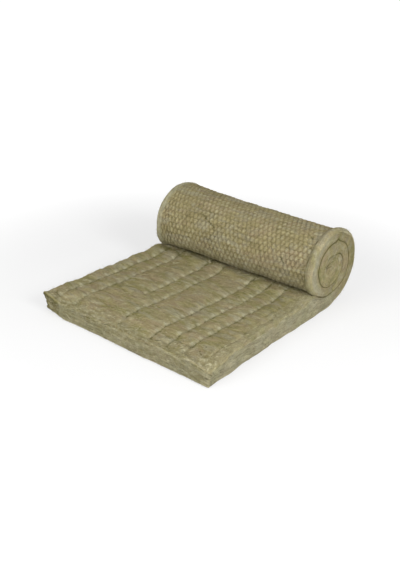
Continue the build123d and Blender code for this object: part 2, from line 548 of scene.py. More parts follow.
    def row_line(self, number, along):
        """X of a row along the mat: straight near the roll, and drawn left near the free end."""
        drift = -(6 + 2.0 * number) * MM * ease((0.55 - along) / 0.5)
        wander = 5 * MM * noise(40 + number, along / 0.16, 0.5)
        wander = wander + 1.5 * MM * noise(50 + number, along / 0.04, 0.5)
        return self.row_places[number] + drift + wander

    def row_strength(self, number, along):
        """How hard a row pulls: the row left of the middle fades out towards the free end."""
        fade = ease((along - 0.24) / 0.12) if number == FADING_ROW else 1
        uneven = 1 + 0.25 * noise(60 + number, along / 0.12, 0.5)
        return fade * uneven * ease((along - 0.005) / 0.05)

    def stitch_beat(self, number, along):
        """Distance along a row counted in stitches, of which no two have quite the same length."""
        steps = along / self.stitches.stitch_length + (number * 0.37) % 1
        return steps + 0.2 * noise(66 + number, along / 0.09, 0.5)

    def quilting(self, along, x):
        """Height and marks of the stitched rows: for each row a crease that fades away at either side, a
        hole at each stitch, and between two stitches a swelling on its left side. The marks are painted
        shade in the crease, in the hole and beside the row on its right, and painted highlights on the tips
        and on the row's left side."""
        stitches = self.stitches
        height = 0
        painted_shade = 0
        light = 0
        bend = 14 * MM * noise(33, along / 0.09, x / 0.05)
        for number in range(len(STITCH_NODES)):
            strength = self.row_strength(number, along)
            beat = self.stitch_beat(number, along)
            scallop = (4.5 + 2.5 * noise(74 + number, beat, 0.5)) * MM
            scallop = scallop * (np.abs(np.sin(np.pi * beat)) - 0.4)
            away = x - self.row_line(number, along) - scallop
            left = away < 0
            apart = np.abs(away)
            to_stitch = (beat - np.round(beat)) * stitches.stitch_length
            wide = np.where(left, 26 * MM, 40 * MM)
            pull = 0.6 * fading(apart, stitches.row_softness) + 0.95 * fading(apart, wide)
            lean = beat + (bend + 0.2 * apart) / stitches.stitch_length
            pillow = np.abs(np.sin(np.pi * lean)) ** 0.8
            ripple = pillow * fading(apart, np.where(left, 34 * MM, 14 * MM))
            ripple = ripple * (1 + 0.5 * noise(34 + number, beat, 0.5))
            hole = bump_at(to_stitch, away, 5.5 * MM)
            tip = np.exp(-(((to_stitch - 10 * MM) / (6 * MM)) ** 2) - ((away + 8 * MM) / (12 * MM)) ** 2)
            height = height - strength * (stitches.row_depth * pull + stitches.hole_depth * hole)
            height = height + strength * (5.5 * MM * ripple + 2.2 * MM * tip)
            broken = np.clip(0.7 + 0.8 * noise(47 + number, along / 0.028, 0.5), 0.1, 1.4)
            # Painted shade in the crease, beside the row on its right and in each stitch's hole.
            crease = fading(np.abs(away - 1.5 * MM), 2.6 * MM) * (0.3 + 0.35 * pillow) * broken
            crease = crease + 0.12 * (away > 0) * fading(apart, 26 * MM)
            painted_shade = painted_shade + strength * (crease + 0.7 * hole)
            # Painted highlights on each tip, on the swelling's flank and along the row's left side.
            bright = 0.85 + 0.7 * noise(35 + number, np.round(beat) * 0.7, 0.5)
            flank = fading(np.abs(away + 7 * MM), 10 * MM)
            light = light + strength * (bright * tip + 0.35 * ripple * flank)
            light = light + 0.3 * strength * left * fading(apart, 20 * MM) * ease(-away / (4 * MM))
        return height, painted_shade, light

    def folds(self, along, x):
        """Depth and painted shade of the cross creases between the rows, which no stitch makes."""
        height = 0
        painted_shade = 0
        bend = 6 * MM * noise(71, along / 0.05, x / 0.05)
        for start, end, deep in FLAT_FOLDS:
            across, run = line_distance(along + bend, x, start, end)[:2]
            fade = ease(run / 0.15) * ease((1 - run) / 0.15)
            side = np.where(across > 0, 0.35, 1.0)
            height = height - 1.5 * (deep * MM) * fade * fading(np.abs(across), 8 * MM) * side
            painted_shade = painted_shade + 0.32 * fade * fading(np.abs(across), 3.5 * MM)
        return height, painted_shade

    def tears(self, along, x):
        """Depth and painted shade of the small holes torn in the right side's upper edge and in the flat
        length.
        """
        depth = 0
        mark = 0
        for start, end, reach, deep in TEARS:
            across, run, past = line_distance(along, x, start, end)
            bow = 4 * MM * (1 - (2 * run - 1) ** 2)
            hole = bump_at(across - bow, past, reach * MM)
            depth = depth + deep * MM * hole
            mark = mark + 0.7 * hole
        return depth, mark

    def flat_relief(self, along, x):
        """Height of the flat length's top, above or below the mat's thickness, and its painted shade and
        painted light marks.
        """
        height, painted_shade, light = self.quilting(along, x)
        fold_height, fold_shade = self.folds(along, x)
        tear_depth, tear_shade = self.tears(along, x)
        slow = 3.6 * MM * noise(81, along / 0.15, x / 0.17) + 3.6 * MM * noise(82, along / 0.05, x / 0.10)
        lean = along + 0.12 * x + 12 * MM * noise(85, along / 0.07, x / 0.09)
        streaks = rough_noise(83, 2, lean / 0.021, x / 0.085)
        wrinkle = bell(streaks, 0.14) * ease(0.3 + noise(84, along / 0.06, x / 0.08))
        streaks = 1.6 * MM * streaks - 1.8 * MM * wrinkle
        fine = 0.7 * MM * noise(86, along / 0.011, x / 0.014)
        frayed = np.clip(ease(1 - (along - 0.012) / 0.055) + 0.7 * ease((x - 0.425) / 0.04), 0, 1)
        layer = np.where(x > 0.43, (x + 0.2 * along) / 0.012, along / 0.012)
        bands = rough_noise(92, 2, layer, (along + x) / 0.05)
        slump = -24 * MM * ease(1 - along / 0.15) * ease((x + 0.48) / 0.12)
        slump = slump * (1 - 0.35 * ease((x - 0.25) / 0.2))
        slump = slump - 34 * MM * np.exp(-((self.lie.right - x) / 0.045 + along / 0.055))
        squeezed = 7 * MM * ease((along - 0.72) / 0.1)
        side_folds = noise(88, x / 0.013 + 1.2 * noise(89, along / 0.05, 0.5), along / 0.16)
        side_folds = 3.2 * MM * ease((x - 0.40) / 0.05) * side_folds + 3.4 * MM * frayed * bands
        height = height + fold_height - tear_depth + slow + streaks + fine
        crest = np.clip((height + 5 * MM) / (11 * MM), -1, 1)
        # Painted shade in low places, wrinkles, folds, tears and between frayed layers; painted highlights
        # on the crests and on frayed layers.
        painted_shade = painted_shade + fold_shade + tear_shade + 0.16 * np.clip(-crest, 0, 1) + 0.25 * wrinkle
        painted_shade = painted_shade + 0.45 * frayed * np.clip(-bands - 0.25, 0, 1) + self.flat_shade(along, x)
        light = light + 0.22 * np.clip(crest, 0, 1) + 0.4 * frayed * np.clip(bands - 0.45, 0, 1)
        return height + slump + squeezed + side_folds, painted_shade, light

    def flat_shade(self, along, x):
        """Shade mark of the flat length before the roll, beside its right edge and on its end's rim."""
        to_roll = self.mouth_along() - along
        shade = 0.18 * fading(np.clip(to_roll, 0, None), 0.02)
        shade = shade + (0.34 + 0.2 * noise(95, x / 0.07, along / 0.05)) * bell(to_roll - 48 * MM, 30 * MM)
        shade = shade + 0.3 * fading(self.lie.right - x, 9 * MM)
        rim = ease(1 - (along - 0.012) / 0.028)
        shade = shade + rim * np.clip(0.24 + 0.3 * noise(93, x / 0.045, along / 0.012), 0, 1)
        return shade + 0.3 * rim * ease((-0.33 - x) / 0.04)

    def plain(self, along, x):
        """X, Y, Z and the painted shade and painted light marks of the plain face."""
        shape = self.shape
        lie = self.lie
        from_end = self.from_end(x)
        turn = lie.contact_turn(along)
        under_y, under_z = lie.spiral(turn)
        out_y, out_z = lie.out(turn)
        ending = ease((lie.last_turn - turn) / 0.5) * self.slit_open(turn, x)
        lips = ending * shape.slit_gap / 2 + edge_drop(from_end, shape.slit_round * ending + TINY)
        pressed = ease((along - 0.78) / 0.06)
        height, painted_shade, light = self.flat_relief(along, x)
        rim = fading(from_end, 22 * MM) + fading(along - shape.end_top_round, 30 * MM)
        uneven = 5 * MM * noise(90, along / 0.035, x / 0.035)
        uneven = uneven + 2.2 * MM * noise(94, along / 0.014, x / 0.014)
        height = height + np.clip(rim, 0, 1) * uneven
        side_round = np.where(x > 0, shape.side_round, 9 * MM)
        side_round = side_round * (1 + 0.4 * noise(87, along / 0.05, np.sign(x)))
        side_round = side_round + (10 * MM - side_round) * pressed
        mound = shape.mound * ease((along - 0.69) / 0.12) * (1 - 0.4 * ease((-0.2 - x) / 0.25))
        top = shape.thickness + height * (1 - pressed) + mound - edge_drop(from_end, side_round)
        spread = self.flare(turn, x) * 0.8 + self.crumple(turn, x)
        near_roll = lie.free_end + along > lie.roll_line - lie.front_width + 1 * MM
        lowered = spread * (out_z < 0) / np.clip(-out_z, 0.5, 1)
        limit = np.where(near_roll, under_z - lowered - lips, 1.0)
        blend = 5 * MM
        pushed_down = (top + limit - np.sqrt((top - limit) ** 2 + blend**2)) / 2
        flat_z = np.where(near_roll, pushed_down, top)
        forward = self.sharp_end(x) * ease(1 - (along - shape.end_top_round) / 0.12)
        flat_y = lie.free_end + along - forward + self.end_inset(along, x, 1.0)
        wound = along >= lie.reach
        y = np.where(wound, under_y + out_y * (lips + spread), flat_y)
        z = np.where(wound, under_z + out_z * (lips + spread), flat_z)
        # Where the next turn covers the plain face, the gap's painted shade replaces its own marks and its
        # painted light goes.
        buried = ease((along - self.mouth_along()) / (20 * MM)) * self.covered(along, x)
        painted_shade = np.clip(painted_shade * (1 - buried) + buried * self.slit_shade(turn, x), 0, 1)
        return x + self.side_shift(along, x), y, z, painted_shade, np.clip(light * (1 - buried), 0, 1)


def line_distance(along, x, start, end):
    """Signed distance from a line, the share of it passed, and the distance past either end."""
    start = np.array(start)
    direction = np.array(end) - start
    size = np.hypot(*direction)
    direction = direction / size
    run = ((along - start[0]) * direction[0] + (x - start[1]) * direction[1]) / size
    across = (along - start[0]) * -direction[1] + (x - start[1]) * direction[0]
    return across, run, np.clip(np.abs(run - 0.5) - 0.5, 0, None) * size


# The creases on the roll, as start and end (distance along the mat, X) and depth in millimetres
ROLL_CREASES = (
    ((1.770, -0.225), (1.806, -0.158), 7), ((1.800, -0.165), (1.838, -0.092), 8),
    ((1.700, 0.385), (1.735, 0.440), 5), ((1.860, 0.300), (1.900, 0.345), 5),
)

# The cross creases on the flat length, in the same way
FLAT_FOLDS = (
    ((0.335, -0.320), (0.318, -0.135), 6), ((0.372, -0.140), (0.352, -0.040), 4),
    ((0.300, -0.310), (0.235, -0.120), 3), ((0.262, 0.165), (0.250, 0.262), 5),
    ((0.096, -0.350), (0.128, -0.250), 6), ((0.130, -0.265), (0.106, -0.030), 7),
    ((0.110, -0.020), (0.104, 0.130), 5), ((0.200, -0.345), (0.212, -0.040), 6),
    ((0.268, -0.345), (0.278, -0.200), 5), ((0.098, 0.130), (0.092, 0.345), 5),
    ((0.135, -0.430), (0.120, -0.330), 5), ((0.215, -0.440), (0.212, -0.345), 4),
    ((0.505, -0.315), (0.440, -0.175), 4), ((0.620, 0.170), (0.600, 0.350), 4),
    ((0.600, 0.370), (0.590, 0.460), 5), ((0.300, 0.375), (0.330, 0.455), 5),
    ((0.735, -0.300), (0.700, -0.230), 5), ((0.030, 0.452), (0.300, 0.462), 6),
    ((0.290, 0.450), (0.560, 0.466), 6), ((0.420, 0.420), (0.780, 0.440), 4),
    ((0.045, -0.400), (0.060, -0.150), 4), ((0.050, 0.120), (0.040, 0.400), 5),
)

# The tears, as start and end, half width and depth in millimetres
TEARS = (
    ((0.596, 0.448), (0.574, 0.478), 4, 10), ((0.562, 0.452), (0.546, 0.474), 3, 7),
    ((0.524, 0.462), (0.500, 0.482), 4, 8), ((0.086, 0.392), (0.060, 0.440), 4, 5),
    ((0.128, 0.394), (0.122, 0.404), 3, 4), ((0.064, -0.468), (0.046, -0.436), 4, 5),
    ((0.131, -0.040), (0.128, -0.030), 3, 6), ((0.052, 0.330), (0.036, 0.372), 4, 4),
)


# Putting patches together into one closed mesh


class Patches:
    """Triangles gathered from many patches, joined where their points are the same."""

    def __init__(self):
        self.points = []
        self.faces = []
        self.lies = []
        self.meshes = []
        self.marks = []
        self.count = 0

    def add_points(self, points, lies, meshes, marks):
        """Adds points with their place on the mat, place in the meshes and marks; returns their numbers."""
        shape = points.shape[:-1]
        numbers = self.count + np.arange(int(np.prod(shape))).reshape(shape)
        self.points.append(points.reshape(-1, 3))
        self.lies.append(np.broadcast_to(lies, shape + (2,)).reshape(-1, 2))
        self.meshes.append(np.broadcast_to(meshes, shape + (2,)).reshape(-1, 2))
        self.marks.append(np.broadcast_to(marks, shape + (4,)).reshape(-1, 4))
        self.count += numbers.size
        return numbers

    def add_grid(self, numbers):
        """Two triangles for each cell of a grid of point numbers, its diagonals turned about in turn."""
        a, b = numbers[:-1, :-1], numbers[:-1, 1:]
        c, d = numbers[1:, 1:], numbers[1:, :-1]
        rows, columns = np.indices(a.shape)
        flip = ((rows + columns) % 2 == 0)[..., None]
        first = np.where(flip, np.stack([a, b, c], -1), np.stack([a, b, d], -1))
        second = np.where(flip, np.stack([a, c, d], -1), np.stack([b, c, d], -1))
        self.faces.append(first.reshape(-1, 3))
        self.faces.append(second.reshape(-1, 3))

    def zip_chains(self, first, first_keys, second, second_keys):
        """Triangles between two chains of points that run side by side, stepping on in the keys' order."""
        first_steps = (first_keys[:-1] + first_keys[1:]) / 2
        second_steps = (second_keys[:-1] + second_keys[1:]) / 2
        other = np.searchsorted(second_steps, first_steps)
        self.faces.append(np.stack([first[:-1], first[1:], second[other]], -1))
        other = np.searchsorted(first_steps, second_steps, side="right")
        self.faces.append(np.stack([second[1:], second[:-1], first[other]], -1))

    def make(self, name):
        """The mesh of all patches, with equal points joined and faces turned outwards."""
        points = np.concatenate(self.points)
        faces = np.concatenate(self.faces)
        places = np.round(points / 1e-6).astype(np.int64)
        first, joined = np.unique(places, axis=0, return_index=True, return_inverse=True)[1:]
        joined = joined.reshape(-1)
        corners = joined[faces]
        whole = (corners != np.roll(corners, 1, axis=1)).all(axis=1)
        corners = corners[whole]
        sources = faces[whole].reshape(-1)
        mesh = bpy.data.meshes.new(name)
        mesh.vertices.add(len(first))
        mesh.vertices.foreach_set("co", points[first].astype(np.float32).ravel())
        mesh.loops.add(corners.size)
        mesh.loops.foreach_set("vertex_index", corners.astype(np.int32).ravel())
        mesh.polygons.add(len(corners))
        mesh.polygons.foreach_set("loop_start", np.arange(0, corners.size, 3, dtype=np.int32))
        mesh.update(calc_edges=True)
        for layer_name, values in (("lie", self.lies), ("meshes", self.meshes)):
            layer = mesh.uv_layers.new(name=layer_name)
            layer.data.foreach_set("uv", np.concatenate(values)[sources].astype(np.float32).ravel())
        # The marks: netted share, paleness of cut, worn and bare wool, painted shade, and painted light in
        # alpha.
        marks = mesh.color_attributes.new("marks", "FLOAT_COLOR", "CORNER")
        marks.data.foreach_set("color", np.concatenate(self.marks)[sources].astype(np.float32).ravel())
        finish_mesh(mesh)
        return mesh


def finish_mesh(mesh):
    """Turns a closed mesh's faces outwards, prints how many edges are open and shades it smooth."""
    shell = bmesh.new()
    shell.from_mesh(mesh)
    bmesh.ops.recalc_face_normals(shell, faces=shell.faces)
    loose = sum(1 for edge in shell.edges if len(edge.link_faces) != 2)
    print(f"{mesh.name}: {len(shell.faces)} faces, {loose} open edges, volume {shell.calc_volume():.4f}")
    shell.to_mesh(mesh)
    shell.free()
    mesh.polygons.foreach_set("use_smooth", np.ones(len(mesh.polygons), dtype=bool))
    mesh.update()


def place_piece(name, mesh, material, nodes):
    """An object of a mesh, riding on the mat's body in the place of its CAD nodes."""
    piece = bpy.data.objects.new(name, mesh)
    bpy.context.scene.collection.objects.link(piece)
    mesh.materials.append(material)
    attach(piece, "root")
    if nodes:
        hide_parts(*nodes)
    return piece


class WoolShell:
    """The closed wool mesh: both faces, the free end, the gap between the turns, the sides and the core."""

    end_rows = 28  # rows of points up the free end
    side_rows = 20  # rows of points through the mat's thickness on its sides
    floor_step = 60 * MM  # between two rows of points on the underside
    flat_step = 7 * MM  # between two rows of points on the flat length's top
    slit_step = FULL_TURN / 64  # between two rows of points in the gap between the turns
    pocket_depth = 25 * MM  # how far the gap goes in below the roll over the mat's whole width

    def __init__(self, faces):
        self.faces = faces
        self.lie = faces.lie
        self.patches = Patches()
        self.x = self.columns()
        self.side_columns = int(np.sum(self.x < faces.net_left - 1e-6))
        self.plan_stations()

    def columns(self):
        """X of the columns: six for each mesh of the netting, closer together near the side edges."""
        faces = self.faces
        margin = np.array([0, 1.5, 4, 8, 13, 19, 26, 33]) * MM
        margin_width = 39 * MM
        count = int(round((faces.net_right - faces.net_left) / faces.netting.mesh_width * 6))
        inner = np.linspace(faces.net_left, faces.net_right, count + 1)
        left = self.lie.left + margin * (faces.net_left - self.lie.left) / margin_width
        right = self.lie.right - margin[::-1] * (self.lie.right - faces.net_right) / margin_width
        return np.concatenate([left, inner, right])

    def plan_stations(self):
        """Distances along the mat at which each face has a row of points, the numbers of the first rows in
        the gap, of the row where the pocket below the roll ends and of the row where the core starts."""
        faces = self.faces
        lie = self.lie
        shape = faces.shape
        mouth = faces.mouth_turn
        before = np.linspace(mouth, FULL_TURN, 13)[:-1]
        steps = int(round((lie.last_turn - FULL_TURN) / self.slit_step))
        after = FULL_TURN + np.arange(steps + 1) * self.slit_step
        self.slit_turns = np.concatenate([before, after])
        contacts = lie.contact_along(self.slit_turns)
        self.pocket = int(np.searchsorted(contacts, faces.mouth_along() + self.pocket_depth))
        self.core_start = len(before) + steps - int(round(FULL_TURN / self.slit_step))
        self.strip_end = float(lie.along_at(self.slit_turns[self.core_start]))
        first_row = int(np.ceil((lie.reach + 5 * MM) / faces.netting.row_step)) * faces.netting.row_step
        step = faces.netting.row_step / 4
        roll = np.arange(first_row, lie.along_at(mouth) - step / 2, step)
        floor = np.linspace(shape.end_foot_round, lie.reach, int(lie.reach / self.floor_step) + 2)
        self.netted_along = np.concatenate([floor, roll, lie.along_at(self.slit_turns)])
        flat_end = faces.mouth_along()
        count = int((flat_end - shape.end_top_round) / self.flat_step)
        flat = np.linspace(shape.end_top_round, flat_end, count)
        self.plain_along = np.concatenate([flat[:-1], contacts])
        self.netted_slit = len(self.netted_along) - len(self.slit_turns)
        self.plain_slit = len(self.plain_along) - len(self.slit_turns)

    def netted_rows(self, along, x, turned=False):
        """Points, places on the mat, places in the meshes and marks of the netted face. Turned, its fibres
        run round the roll."""
        px, y, z, painted_shade, light = self.faces.netted(along, x)
        netted = self.faces.netted_share(x)
        column, row = self.faces.cells(along, x)
        in_view = ease((self.lie.turn_at(along) - 2.6) / 0.7) * (x > 0)
        collar = (0.7 - 0.45 * in_view) * (1 - netted) * ease((along - self.lie.reach) / 0.1)
        lies = stack(along + 6, px + 8) if turned else stack(px, along)
        return stack(px, y, z), lies, stack(column, row), stack(netted, collar, painted_shade, light)

    def plain_rows(self, along, x, turned=False):
        """The same of the plain face. Turned, its fibres run lengthwise."""
        px, y, z, painted_shade, light = self.faces.plain(along, x)
        worn = 0.38 * ease((x - 0.42) / 0.06) * (along < self.lie.reach)
        worn = np.maximum(worn, 0.45 * ease(1 - (along - 0.012) / 0.05))
        lies = stack(along + 9, px + 4) if turned else stack(px + 3, along)
        return stack(px, y, z), lies, 0 * lies, stack(0, worn, painted_shade, light)

    def tip(self, edge_x):
        """The point in the core where both faces end at one side."""
        return self.netted_rows(self.netted_along[-1:], np.array([edge_x]))[0][0]

    def add_main_faces(self):
        """The netted and the plain face over the mat's whole width, as far as the pocket under the roll."""
        x = self.x[None, :]
        inside = slice(self.side_columns, len(self.x) - self.side_columns)
        rows = self.netted_slit + self.pocket + 1
        netted = self.netted_rows(self.netted_along[:rows, None], x)
        self.netted_points = netted[0]
        netted_numbers = self.patches.add_points(*netted)
        self.patches.add_grid(netted_numbers[:, inside])
        for margin in (slice(0, self.side_columns + 1), slice(-self.side_columns - 1, None)):
            turned = self.netted_rows(self.netted_along[:rows, None], x[:, margin], turned=True)
            self.patches.add_grid(self.patches.add_points(*turned))
        rows = self.plain_slit + self.pocket + 1
        plain = self.plain_rows(self.plain_along[:rows, None], x)
        self.plain_points = plain[0]
        plain_numbers = self.patches.add_points(*plain)
        band = len(self.x) - self.side_columns - 4
        self.patches.add_grid(plain_numbers[:, : band + 1])
        turned = self.plain_rows(self.plain_along[:rows, None], x[:, band:], turned=True)
        self.patches.add_grid(self.patches.add_points(*turned))
        self.patches.add_grid(np.stack([netted_numbers[-1, inside], plain_numbers[-1, inside]]))

    def add_free_end(self):
        """The free end: from the foot to the upper edge, rounded at both, with ragged layers of wool."""
        shape = self.faces.shape
        share = np.linspace(0, 1, self.end_rows + 1)[:, None]
        foot = self.netted_points[0]
        top = self.plain_points[0]
        z = foot[:, 2] + (top[:, 2] - foot[:, 2]) * share
        top_round = shape.end_top_round - self.faces.sharp_end(self.x)
        inset = edge_drop(top[:, 2] - z, top_round) + edge_drop(z - foot[:, 2], shape.end_foot_round)
        layers, painted_shade = layered(91, self.x, share)
        window = ease(share / 0.08) * ease((1 - share) / 0.06)
        torn = ease((-0.385 - self.x) / 0.025)
        bite = 5 * MM + 4 * MM * rough_noise(97, 2, self.x / 0.03, z / 0.02)
        y = self.lie.free_end + self.faces.end_inset(0, self.x, share) + inset - layers * window
        y = y + torn * bite * np.sin(np.pi * share) ** 0.7
        x = self.x + self.faces.side_shift(0, self.x)
        points = stack(x, y, z)
        points[0] = foot
        points[-1] = top
        # Painted shade on the free end: a little all over, more where it is torn and in the grooves between
        # its layers, and on its upper round, most towards the right corner.
        shaded = 0.1 * window + 0.5 * torn * window + 0.6 * painted_shade * window
        upper = 0.2 + 0.2 * noise(96, self.x / 0.04, 0.5) + 0.2 * fading(self.lie.right - self.x, 30 * MM)
        shaded = shaded + upper * bell(share - 0.93, 0.07)
        marks = stack(0, 0.75 * window * (1 - 0.6 * torn), np.clip(shaded, 0, 1), 0)
        lies = stack(x + 6, z)
        self.end_points = points
        self.patches.add_grid(self.patches.add_points(points, lies, 0 * lies, marks))

    def add_slit(self, side):
        """The gap between the turns at one side: both walls, and the wool that closes it further in."""
        count = self.side_columns + 1
        chosen = slice(0, count) if side < 0 else slice(len(self.x) - count, len(self.x))
        x = self.x[None, chosen]
        netted = self.patches.add_points(
            *self.netted_rows(self.netted_along[self.netted_slit + self.pocket :, None], x)
        )
        rows = self.plain_rows(self.plain_along[self.plain_slit + self.pocket :, None], x)
        rows[0][-1] = self.netted_rows(self.netted_along[-1:, None], x)[0][0]
        plain = self.patches.add_points(*rows)
        self.patches.add_grid(netted)
        self.patches.add_grid(plain)
        inner = -1 if side < 0 else 0
        self.patches.add_grid(np.stack([netted[:, inner], plain[:, inner]]))

    def side_relief(self, along, share, side):
        """Relief and shade of a side: a slow swell, and torn layers that are fainter where it is wound."""
        seed = 200 + 10 * side
        slow = 3.5 * MM * noise(seed, along / 0.16, share * 2)
        layers, painted_shade = layered(seed + 1, along, share)
        wound = ease((along - self.lie.reach + 0.1) / 0.1)
        fade = 1 - 0.75 * wound
        window = ease(share / 0.1) * ease((1 - share) / 0.1)
        return (slow + layers * fade) * window, 0.6 * painted_shade * fade * window

    def add_side(self, side):
        """One side of the mat: a strip between its two faces from the free end to the core, joined to the
        faces and the end beside it, and the core."""
        lie = self.lie
        edge_x = lie.left if side < 0 else lie.right
        column = 0 if side < 0 else -1
        flat = np.arange(self.faces.shape.end_top_round + 6 * MM, lie.reach, 6.5 * MM)
        turns = np.arange(0, self.slit_turns[self.core_start] - 1e-6, self.slit_step / 2)
        along = np.concatenate([flat, lie.along_at(turns), [self.strip_end]])
        share = 0.5 - 0.5 * np.cos(np.pi * np.linspace(0, 1, self.side_rows + 1)[1:-1])
        netted = self.netted_rows(along, np.full_like(along, edge_x))[0]
        plain = self.plain_rows(along, np.full_like(along, edge_x))[0]
        plain[-1] = self.tip(edge_x)
        points = netted[None] + (plain - netted)[None] * share[:, None, None]
        relief, painted_shade = self.side_relief(along[None], share[:, None], side)
        relief = relief * ease((self.strip_end - along) / (30 * MM))
        points[..., 0] += side * relief
        depth = self.faces.shape.thickness * share[:, None]
        lies = stack(along + 9, depth + side)
        turn = lie.turn_at(along)
        cut = np.zeros(points.shape[:-1] + (4,))
        wound = ease((along - lie.reach) / 0.2)
        cut[..., 1] = 0.9 - 0.74 * wound
        # Painted shade in the grooves, beside the gap's line, on the outer rim of the roll's far half and
        # over the wound part away from its front; painted light on the front of the wound part.
        rim = 0.28 * ease((turn - 0.5) / 0.5) * ease((3.6 - turn) / 0.5) * fading(share[:, None], 0.4)
        front = ease((turn - 2.9) / 0.9) * ease((FULL_TURN - turn) / 0.9) * ease((1 - share[:, None]) / 0.6)
        cut[..., 2] = painted_shade + self.slit_line(share, along, side) + rim + 0.14 * wound * (1 - front)
        cut[..., 3] = 0.85 * front
        strip = self.patches.add_points(points, lies, 0 * lies, cut)
        self.patches.add_grid(strip)
        self.zip_edge(strip[0], along, self.netted_along, self.netted_rows, edge_x, side, 0)
        self.zip_edge(strip[-1], along, self.plain_along, self.plain_rows, edge_x, side, 1)
        self.zip_free_end(strip[:, 0], share, side, column)
        self.add_core(points[:, -1], edge_x, side)

    def zip_free_end(self, inner, share, side, column):
        """Joins the strip's first column to the outermost column of the free end."""
        places = np.linspace(0, 1, self.end_rows + 1)
        lies = stack(9.0, places * self.faces.shape.thickness + side)
        # Painted shade on the left side's edge of the free end.
        marks = np.array([0, 0.9, 0.35 * (side < 0), 0])
        outer = self.patches.add_points(self.end_points[:, column], lies, 0 * lies, marks)
        self.patches.zip_chains(inner, share, outer, places)

    def slit_line(self, share, along, side):
        """Shade beside the line between two turns: a bell of 1.5 mm from either edge of a wound side, as
        strong as the gap is open."""
        reach = 1.5 * MM
        faces = self.faces
        depth = share[:, None] * faces.shape.turn_thickness
        rest = (1 - share[:, None]) * faces.shape.turn_thickness
        inner = ease((along - faces.mouth_along()) / 0.02)
        inner = inner * faces.slit_open(self.lie.contact_turn(along), side)
        inner = inner * faces.covered(along, self.x[0 if side < 0 else -1])
        outer = ease((along - self.lie.along_at(faces.mouth_turn)) / 0.02)
        outer = outer * faces.slit_open(self.lie.turn_at(along), side)
        return 0.8 * (outer * bell(depth, reach) + inner * bell(rest, reach))

    def zip_edge(self, inner, keys, along, rows, edge_x, side, share):
        """Joins the strip's outermost row to the edge of the face beside it."""
        chosen = along[along <= self.strip_end + TINY]
        points = rows(chosen, np.full_like(chosen, edge_x))[0]
        if share == 1:
            points[-1] = self.tip(edge_x)
        lies = stack(chosen + 9, share * self.faces.shape.thickness + side)
        marks = np.zeros(points.shape[:-1] + (4,))
        marks[..., 1] = 0.9 - 0.6 * ease((chosen - self.lie.reach) / 0.2)
        if share == 0:
            start, turn = self.lie.along_at(self.faces.mouth_turn), self.lie.turn_at(chosen)
        else:
            start, turn = self.faces.mouth_along(), self.lie.contact_turn(chosen)
        # Painted shade along the gap between the turns, stronger where it is more open.
        marks[..., 2] = ease((chosen - start) / 0.02) * (0.25 + 0.6 * self.faces.slit_open(turn, side))
        if share == 1:
            marks[..., 2] *= self.faces.covered(chosen, edge_x)
        outer = self.patches.add_points(points, lies, 0 * lies, marks)
        self.patches.zip_chains(inner, keys, outer, chosen)

    def add_core(self, strip_end, edge_x, side):
        """The core inside the last turn: rings that shrink from its edge to its middle, with folds."""
        along = self.lie.along_at(self.slit_turns[self.core_start :])
        edge = self.netted_rows(along, np.full_like(along, edge_x))[0]
        loop = np.concatenate([edge, strip_end[::-1], edge[:1]])
        middle = loop[:-1].mean(0) - np.array([0, 22 * MM, 0])
        rings = np.linspace(0, 1, 25)[:-1, None, None]
        points = loop[None] + (middle - loop)[None] * rings
        y, z = points[..., 1], points[..., 2]
        from_strip = np.abs(y - strip_end[:, 1].mean())
        window = ease(rings[..., 0] / 0.2) * ease(from_strip / (12 * MM))
        relief = 2.4 * MM * noise(231, y / 0.03, z / 0.03) + 1.0 * MM * noise(232, y / 0.011, z / 0.011)
        fold, mark = self.core_fold(y, z, side)
        fold = fold * ease(rings[..., 0] * 24) * ease(from_strip / (6 * MM))
        points[..., 0] += side * (relief * window - fold)
        round_the_core = np.arctan2(z - middle[2], y - middle[1])
        lies = stack(0.12 * np.abs(round_the_core) + 14, 0.11 * rings[..., 0] + side)
        # Painted shade over the whole core and in its fold.
        marks = stack(0, 0.15, 0.15 + mark, 0)
        numbers = self.patches.add_points(points, lies, 0 * lies, marks)
        self.patches.add_grid(numbers)
        centre_point = middle[None] + np.array([side * 1.0 * MM, 0, 0])
        centre_lie = np.array([middle[1] + 14, middle[2] + side])
        centre = self.patches.add_points(centre_point, centre_lie, 0 * centre_lie, (0, 0.15, 0.15, 0))
        last = numbers[-1]
        self.patches.faces.append(stack(last[:-1], last[1:], centre[0]))

    def core_fold(self, y, z, side):
        """Depth and painted shade of the folded line in the core, where the mat's first end is tucked in.
        On the left it is one short bend."""
        lie = self.lie
        origin = np.array([lie.roll_line, lie.first_radius + 44 * MM])
        corners = np.array([
            (16, 26), (-20, 23), (-38, 7), (-55, -11), (-42, -17), (18, -3), (-42, -17), (-38, -27),
            (5, -26),
        ]) * MM + origin
        if side < 0:
            corners = corners[:4]
        depth = 0
        for start, end in zip(corners[:-1], corners[1:]):
            across, past = line_distance(y, z, start, end)[::2]
            depth = np.maximum(depth, bump_at(across, past, 2.4 * MM))
        return 4.5 * MM * depth, 0.7 * depth

    def build(self):
        """Every patch of the wool, as one closed mesh."""
        self.add_main_faces()
        self.add_free_end()
        for side in (-1, 1):
            self.add_slit(side)
            self.add_side(side)
        return self.patches.make("wool_blanket")


# Wires


